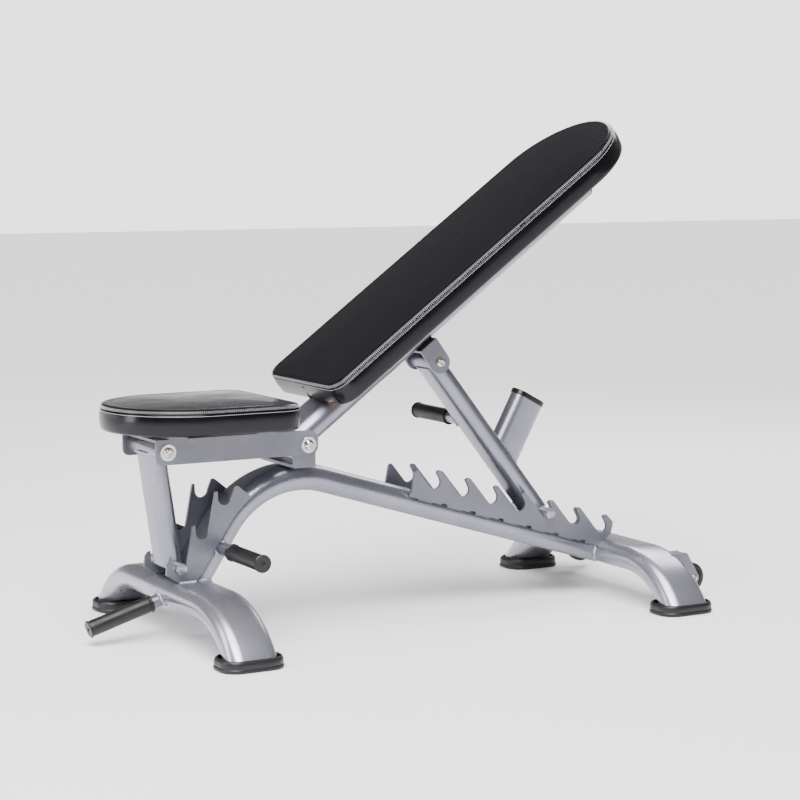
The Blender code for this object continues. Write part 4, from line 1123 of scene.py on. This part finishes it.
    def stitch_rows(self) -> None:
        """Cross stitches above the seam and a running row below it."""
        closed = [place - normal * 0.35 * MM for place, normal in self.outline]
        spots = resample([Vector((p.x, p.y, 0)) for p in closed], self.stitch_pitch, True)
        upper = StitchRow(f"{self.name}_seam_stitches_upper")
        lower = StitchRow(f"{self.name}_seam_stitches_lower")
        for index, spot in enumerate(spots):
            after = spots[(index + 1) % len(spots)]
            before = spots[index - 1]
            run = (after - before).normalized()
            outward = Vector((run.y, -run.x))
            if outward.dot(Vector((spot.x, spot.y)) - self.middle_line(Vector((spot.x, spot.y)))) < 0:
                outward = -outward
            flat = Vector((spot.x, spot.y))
            along = (self.plane.along * run.x + ALONG_Y * run.y).normalized()
            out = self.plane.along * outward.x + ALONG_Y * outward.y
            low = self.lift(flat - outward * 0.2 * MM, self.seam_height + 1.4 * MM)
            high = self.lift(flat - outward * 2.4 * MM, self.seam_height + 6.4 * MM)
            upper.add(low + out * 0.15 * MM, high + out * 0.15 * MM, 0.34 * MM)
            base = self.lift(flat + outward * 0.1 * MM, self.seam_height - 3.4 * MM)
            lower.add(base - along * 1.45 * MM, base + along * 1.45 * MM, 0.42 * MM)
        for row in (upper, lower):
            show(row.build(), THREAD, self.body, slot="vinyl")

    def end_seam(self) -> None:
        """The boxing band's closing seam: two folded ridges and a knot in the square end."""
        outward = math.copysign(1.0, self.square_end - self.nose)
        for index, aside in enumerate((-2.2 * MM, 2.2 * MM)):
            place = Vector((self.square_end - outward * 0.3 * MM, aside))
            heights = (3 * MM, 12 * MM, 24 * MM, self.seam_height - 3 * MM)
            ridge = bead(f"{self.name}_end_seam_{index + 1}", [self.lift(place, height) for height in heights],
                         1.1 * MM, False, seed=40 + index)
            show(ridge, VINYL, self.body, slot="vinyl")
        knot = StitchRow(f"{self.name}_end_seam_knot")
        for step in range(3):
            spot = Vector((self.square_end + outward * 0.5 * MM, 0))
            height = self.seam_height - (3.4 + 0.9 * step) * MM
            middle = self.lift(spot, height)
            knot.add(middle - Vector((0, 3.4 * MM, 0)), middle + Vector((0, 3.4 * MM, 0)), 0.5 * MM)
        show(knot.build(), THREAD, self.body, slot="vinyl")

    def build(self) -> None:
        """The pad and its thread."""
        shell = self.shell()
        show(shell, VINYL, self.body, f"{self.name}_pad", slot="vinyl")
        self.stitch_rows()
        self.end_seam()


class StitchRow:
    """Short threads gathered into one piece."""

    def __init__(self, name: str) -> None:
        """Start an empty row.

        Args:
            name: Object name.
        """
        self.name = name
        self.vertices: list[Vector] = []
        self.faces: list[tuple[int, ...]] = []

    def add(self, start: Vector, end: Vector, radius: float) -> None:
        """Add one stitch that swells in its middle and dives at both ends."""
        axis = (end - start).normalized()
        aside = axis.orthogonal().normalized()
        other = axis.cross(aside)
        first = len(self.vertices)
        for share, swell in ((0.0, 0.35), (0.2, 0.9), (0.5, 1.0), (0.8, 0.9), (1.0, 0.35)):
            spot = start.lerp(end, share)
            for step in range(6):
                turn = math.pi * step / 3
                self.vertices.append(spot + (aside * math.cos(turn) + other * math.sin(turn)) * radius * swell)
        for row in range(4):
            for step in range(6):
                here = first + row * 6 + step
                after = first + row * 6 + (step + 1) % 6
                self.faces.append((here, after, after + 6, here + 6))
        self.faces.append(tuple(first + step for step in range(5, -1, -1)))
        self.faces.append(tuple(first + 24 + step for step in range(6)))

    def build(self) -> bpy.types.Object:
        """Make the row's object."""
        return solid(self.name, self.vertices, self.faces, sharp=80)


@dataclass
class Seat:
    """The seat's pad and what shows of its metalwork."""

    def build(self) -> None:
        """Pad and strut."""
        low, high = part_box("seat_pad")
        plane = Plane.side(Vector((0, 0, low.z)))
        Pad("seat", "seat", high.x, low.x, high.y - low.y, 45 * MM, plane, seed=11).build()
        Strut("seat_strut", "seat_strut").build()


@dataclass
class Back:
    """The back's tube, pad, pivot sleeve, strut, post and handle."""

    tilt: float = 36.26
    tube_thick: float = 50 * MM
    tube_wide: float = 100 * MM
    tube_start: float = -20 * MM
    tube_end: float = 820 * MM
    pad_start: float = 84.4 * MM
    pad_long: float = 857 * MM
    underside: float = 31.1 * MM
    post_along: float = 272 * MM
    post_angle: float = 61.57
    post_long: float = 138 * MM

    def build(self) -> None:
        """Everything that rides on the back and on its strut."""
        pivot = joint_place("back_tilt")
        plane = Plane.side(pivot, math.radians(self.tilt))
        tube = Tube("back_frame_tube_drawn", plane, [(self.tube_start, 0), (self.tube_end, 0)], self.tube_thick,
                    self.tube_wide, open_start=True, depth=60 * MM).build()
        show(tube, TUBE_PAINT, "back", "back_frame_tube", slot="frame_paint")
        lifted = Plane(pivot + plane.up * self.underside, plane.along, plane.up)
        low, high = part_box("back_pad")
        Pad("back", "back", self.pad_start, self.pad_start + self.pad_long, high.y - low.y, 35 * MM, lifted,
            seed=5).build()
        self.sleeve(pivot)
        strut = Strut("back_strut", "back_strut")
        strut.build()
        self.post(strut)
        handle = Handle("strut_handle", "back_strut", ALONG_Y)
        handle.build(strut.tube)

    def sleeve(self, pivot: Vector) -> None:
        """The pivot sleeve through the back tube."""
        node = "back_pivot_sleeve"
        radius = round_size(node)[0]
        piece = ring_piece(node + "_turned", node, pivot, 1 * MM, BOLT_HOLE, 48)
        show(piece, TUBE_PAINT, "back", "back_pivot_sleeve", slot="frame_paint")
        for side, sign in (("left", -1), ("right", 1)):
            ring = [pivot + Vector((math.cos(t) * (radius + 0.6 * MM), sign * self.tube_wide / 2 * 0.985,
                                    math.sin(t) * (radius + 0.6 * MM)))
                    for t in (2 * math.pi * step / 32 for step in range(32))]
            weld(f"back_sleeve_weld_{side}", ring, 2.2 * MM, "back", seed=17)

    def post(self, strut: Strut) -> None:
        """The stub post on the strut, with its cap and weld."""
        root = strut.plane.at(self.post_along, 0)
        plane = Plane.side(root, math.radians(self.post_angle))
        turned_section = TurnedTube("post_tube_drawn", plane, [(0, 0), (self.post_long, 0)], 40 * MM, 75 * MM)
        post = turned_section.build()
        show(post, TUBE_PAINT, "back_strut", "post_tube", slot="frame_paint")
        cap_path = [(self.post_long + reach, 0) for reach in (0.3 * MM, 10.3 * MM)]
        cap = TurnedTube("post_cap_moulded", plane, cap_path, 43 * MM, 78 * MM, soft=1.2 * MM)
        show(cap.build(), CAP_PLASTIC, "back_strut", "post_cap", slot="black_plastic")
        outline = turned_section.ring((120 * MM, 0), Vector((1, 0)), -0.5 * MM)
        seam = Surface(strut.tube).seam(outline, -plane.along)
        weld("post_weld", seam, 3.0 * MM, "back_strut", seed=21)


@dataclass(frozen=True)
class TurnedTube(Tube):
    """A flat-oval piece whose wide side lies in the path's plane."""

    soft: float = 0.0

    def ring(self, place: tuple[float, float], heading: Vector, shrink: float = 0.0) -> Ring:
        """The section with its wide side in the plane."""
        normal = Vector((-heading.y, heading.x))
        points = []
        for offset, sideways in flat_oval(self.thick - 2 * shrink, self.wide - 2 * shrink):
            points.append(self.plane.at(place[0] + normal.x * sideways, place[1] + normal.y * sideways, offset))
        return points

    def build(self) -> bpy.types.Object:
        """Sweep it, with softened rims if asked."""
        if not self.soft:
            return super().build()
        heading = Vector((1, 0))
        start, end = self.path[0][0], self.path[1][0]
        rings = [self.ring((start, 0), heading, 0.5 * self.soft),
                 self.ring((start + 0.4 * self.soft, 0), heading)]
        for share in (0.0, 0.35, 0.7, 1.0):
            angle = share * math.pi / 2
            rings.append(self.ring((end - self.soft + self.soft * math.sin(angle), 0), heading,
                                   self.soft * (1 - math.cos(angle))))
        return loft(self.name, rings, sharp=50)


@dataclass
class Wheel:
    """A transport wheel with its tyre, hub and axle."""

    side: str
    hub: float = 19 * MM
    axle: float = 4 * MM

    def build(self) -> None:
        """Tyre and hub in one turned piece, and the axle."""
        node = f"wheel_{self.side}"
        low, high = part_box(node)
        radius = (high.z - low.z) / 2
        half = (high.y - low.y) / 2
        centre = middle_of(node)
        face = []
        for sign in (1, -1):
            side = [(self.axle + 0.3 * MM, half), (8 * MM, half), (9 * MM, half - 1 * MM),
                    (10 * MM, half - 4 * MM), (self.hub - 2 * MM, half - 4 * MM),
                    (self.hub, half - 1.5 * MM), (self.hub + 1 * MM, half - 1 * MM),
                    (self.hub + 1.6 * MM, half - 1.6 * MM), (self.hub + 2.4 * MM, half - 0.6 * MM),
                    (radius - 4 * MM, half - 0.4 * MM), (radius - 1.6 * MM, half - 1.8 * MM),
                    (radius - 0.4 * MM, half - 4.5 * MM), (radius, half - 8 * MM)]
            if sign < 0:
                side = [(r, -h) for r, h in reversed(side)]
            face += side
        piece = turned(node + "_moulded", centre, ALONG_Y, face, steps=56, closed=True)
        show(piece, WHEEL_RUBBER, node, node, slot="rubber")
        axle = f"wheel_axle_{self.side}"
        low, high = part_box(axle)
        spot = middle_of(axle)
        left = button_head(axle + "_left", Vector((spot.x, low.y + 4 * MM, spot.z)), Vector((0, -1, 0)),
                           7.5 * MM, 4 * MM, 5 * MM)
        right = button_head(axle + "_right", Vector((spot.x, high.y - 4 * MM, spot.z)), ALONG_Y,
                            7.5 * MM, 4 * MM, 5 * MM)
        shank = turned(axle + "_shank", spot, ALONG_Y,
                       [(self.axle, low.y - spot.y + 4 * MM), (self.axle, high.y - spot.y - 4 * MM)], steps=24)
        show(join_as(axle + "_pin", left, right, shank), ZINC, "root", axle, slot="fasteners")


def dress_cad_nodes() -> None:
    """Give each CAD node that stays its finish."""
    finishes = {"frame_paint": TUBE_PAINT, "plate_paint": PLATE_PAINT, "fasteners": ZINC,
                "crossbar_steel": BAR_PAINT, "bush_plastic": NYLON, "rubber": BOOT_RUBBER, "vinyl": UNDER_VINYL,
                "plywood": PLYWOOD, "black_plastic": CAP_PLASTIC}
    slots = {part["node"]: part["material_slot"] for part in frame["record"]["subparts"]}
    for name, node in frame["nodes"].items():
        node.data.materials.clear()
        node.data.materials.append(finishes[slots[name]].material())
        node.data.shade_smooth()
        node.data.set_sharp_from_angle(angle=math.radians(30))


# ---- stage ----------------------------------------------------------------------------------------
@dataclass
class Studio:
    """A pale floor, soft lights and the camera."""

    lens: float = 98.3
    camera_ahead: float = 1.6346
    camera_aside: float = 3.7674
    camera_height: float = 0.916
    turn: float = -29.25
    dip: float = 6.47
    floor: float = 40.0
    bright_below: float = 0.068
    dim_above: float = 0.1
    horizon: float = 2.6
    overhead: float = 0.22
    sun_power: float = 5.5
    sun_spread: float = 50.0

    def build(self) -> None:
        """Put the stage round the bench."""
        self.add_floor()
        self.add_world()
        self.add_camera()
        self.add_sun()
        self.add_softbox("key_softbox", (-1.6, -2.2, 2.6), (0.0, 0.0, 0.35), 2.4, 1.6, 130)
        self.add_softbox("front_strip", (-3.0, 0.4, 1.3), (-0.2, 0.0, 0.45), 0.7, 2.2, 45)
        self.add_softbox("rear_softbox", (2.2, 1.6, 2.4), (0.1, 0.0, 0.4), 2.0, 1.4, 60)

    def add_floor(self) -> None:
        """A wide matt floor."""
        half = self.floor / 2
        signs = ((-1, -1), (1, -1), (1, 1), (-1, 1))
        corners = [Vector((half * x, half * y, 0)) for x, y in signs]
        floor = solid("studio_floor", corners, [(0, 1, 2, 3)])
        material = bpy.data.materials.new("studio_floor_paint")
        material.use_nodes = True
        shader = material.node_tree.nodes["Principled BSDF"]
        shader.inputs["Base Color"].default_value = linear("F7F7F8")
        shader.inputs["Roughness"].default_value = 0.85
        floor.data.materials.append(material)

    def add_world(self) -> None:
        """Bright behind the bench at the horizon and dim elsewhere, so that glossy black stays black."""
        world = bpy.data.worlds.new("studio_world")
        world.use_nodes = True
        tree = world.node_tree
        background = tree.nodes["Background"]
        place = add_node(tree, "ShaderNodeTexCoord")
        parts = add_node(tree, "ShaderNodeSeparateXYZ", inputs={0: place.outputs["Generated"]})
        low = add_node(tree, "ShaderNodeMapRange", None,
                       {"Value": parts.outputs["Z"], "From Min": self.dim_above, "From Max": self.bright_below})
        behind = add_node(tree, "ShaderNodeMapRange", None,
                          {"Value": parts.outputs["Y"], "From Min": 0.3, "From Max": 0.6})
        share = add_node(tree, "ShaderNodeMath", {"operation": "MULTIPLY"},
                         {0: low.outputs["Result"], 1: behind.outputs["Result"]})
        strength = add_node(tree, "ShaderNodeMapRange", None,
                            {"Value": share.outputs[0], "To Min": self.overhead, "To Max": self.horizon})
        tree.links.new(strength.outputs["Result"], background.inputs["Strength"])
        background.inputs["Color"].default_value = linear("FFFFFF")
        bpy.context.scene.world = world

    def add_camera(self) -> None:
        """The viewing angle, set from the front leg."""
        leg = middle_of("front_leg_tube").x
        data = bpy.data.cameras.new("studio_camera")
        data.lens = self.lens
        data.sensor_width = 36.0
        camera = bpy.data.objects.new("studio_camera", data)
        camera.location = (leg - self.camera_ahead, -self.camera_aside, self.camera_height)
        camera.rotation_euler = (math.radians(90 - self.dip), 0, math.radians(self.turn))
        bpy.context.scene.collection.objects.link(camera)
        bpy.context.scene.camera = camera

    def add_sun(self) -> None:
        """A broad even light from above the near side, for the floor and the soft shadow."""
        data = bpy.data.lights.new("broad_top_light", "SUN")
        data.energy = self.sun_power
        data.angle = math.radians(self.sun_spread)
        light = bpy.data.objects.new("broad_top_light", data)
        light.rotation_euler = Vector((0.25, 0.35, -1.0)).to_track_quat("-Z", "Y").to_euler()
        bpy.context.scene.collection.objects.link(light)

    def add_softbox(self, name: str, place: Sequence[float], target: Sequence[float], wide: float, tall: float,
                    power: float) -> None:
        """A rectangular light aimed at a point."""
        data = bpy.data.lights.new(name, "AREA")
        data.shape = "RECTANGLE"
        data.size = wide
        data.size_y = tall
        data.energy = power
        light = bpy.data.objects.new(name, data)
        light.location = place
        light.rotation_euler = (Vector(target) - Vector(place)).to_track_quat("-Z", "Y").to_euler()
        bpy.context.scene.collection.objects.link(light)


def main() -> None:
    """Build the bench's looks in order."""
    logging.basicConfig(level=logging.INFO, format="%(message)s")
    dress_cad_nodes()
    Studio().build()
    legs = Legs()
    legs.build()
    spine = Spine()
    spine.build()
    Handle("side_handle_left", "root", Vector((0, -1, 0))).build(spine.tube)
    Handle("side_handle_right", "root", ALONG_Y).build(spine.tube)
    drop = math.radians(16.5)
    ahead = Vector((-math.cos(drop), 0, -math.sin(drop)))
    Handle("front_handle", "root", ahead).build(bpy.data.objects["front_leg_tube_drawn"])
    Seat().build()
    Back().build()
    Fasteners().build()
    for side in ("left", "right"):
        Wheel(side).build()


if __name__ == "__main__":
    main()
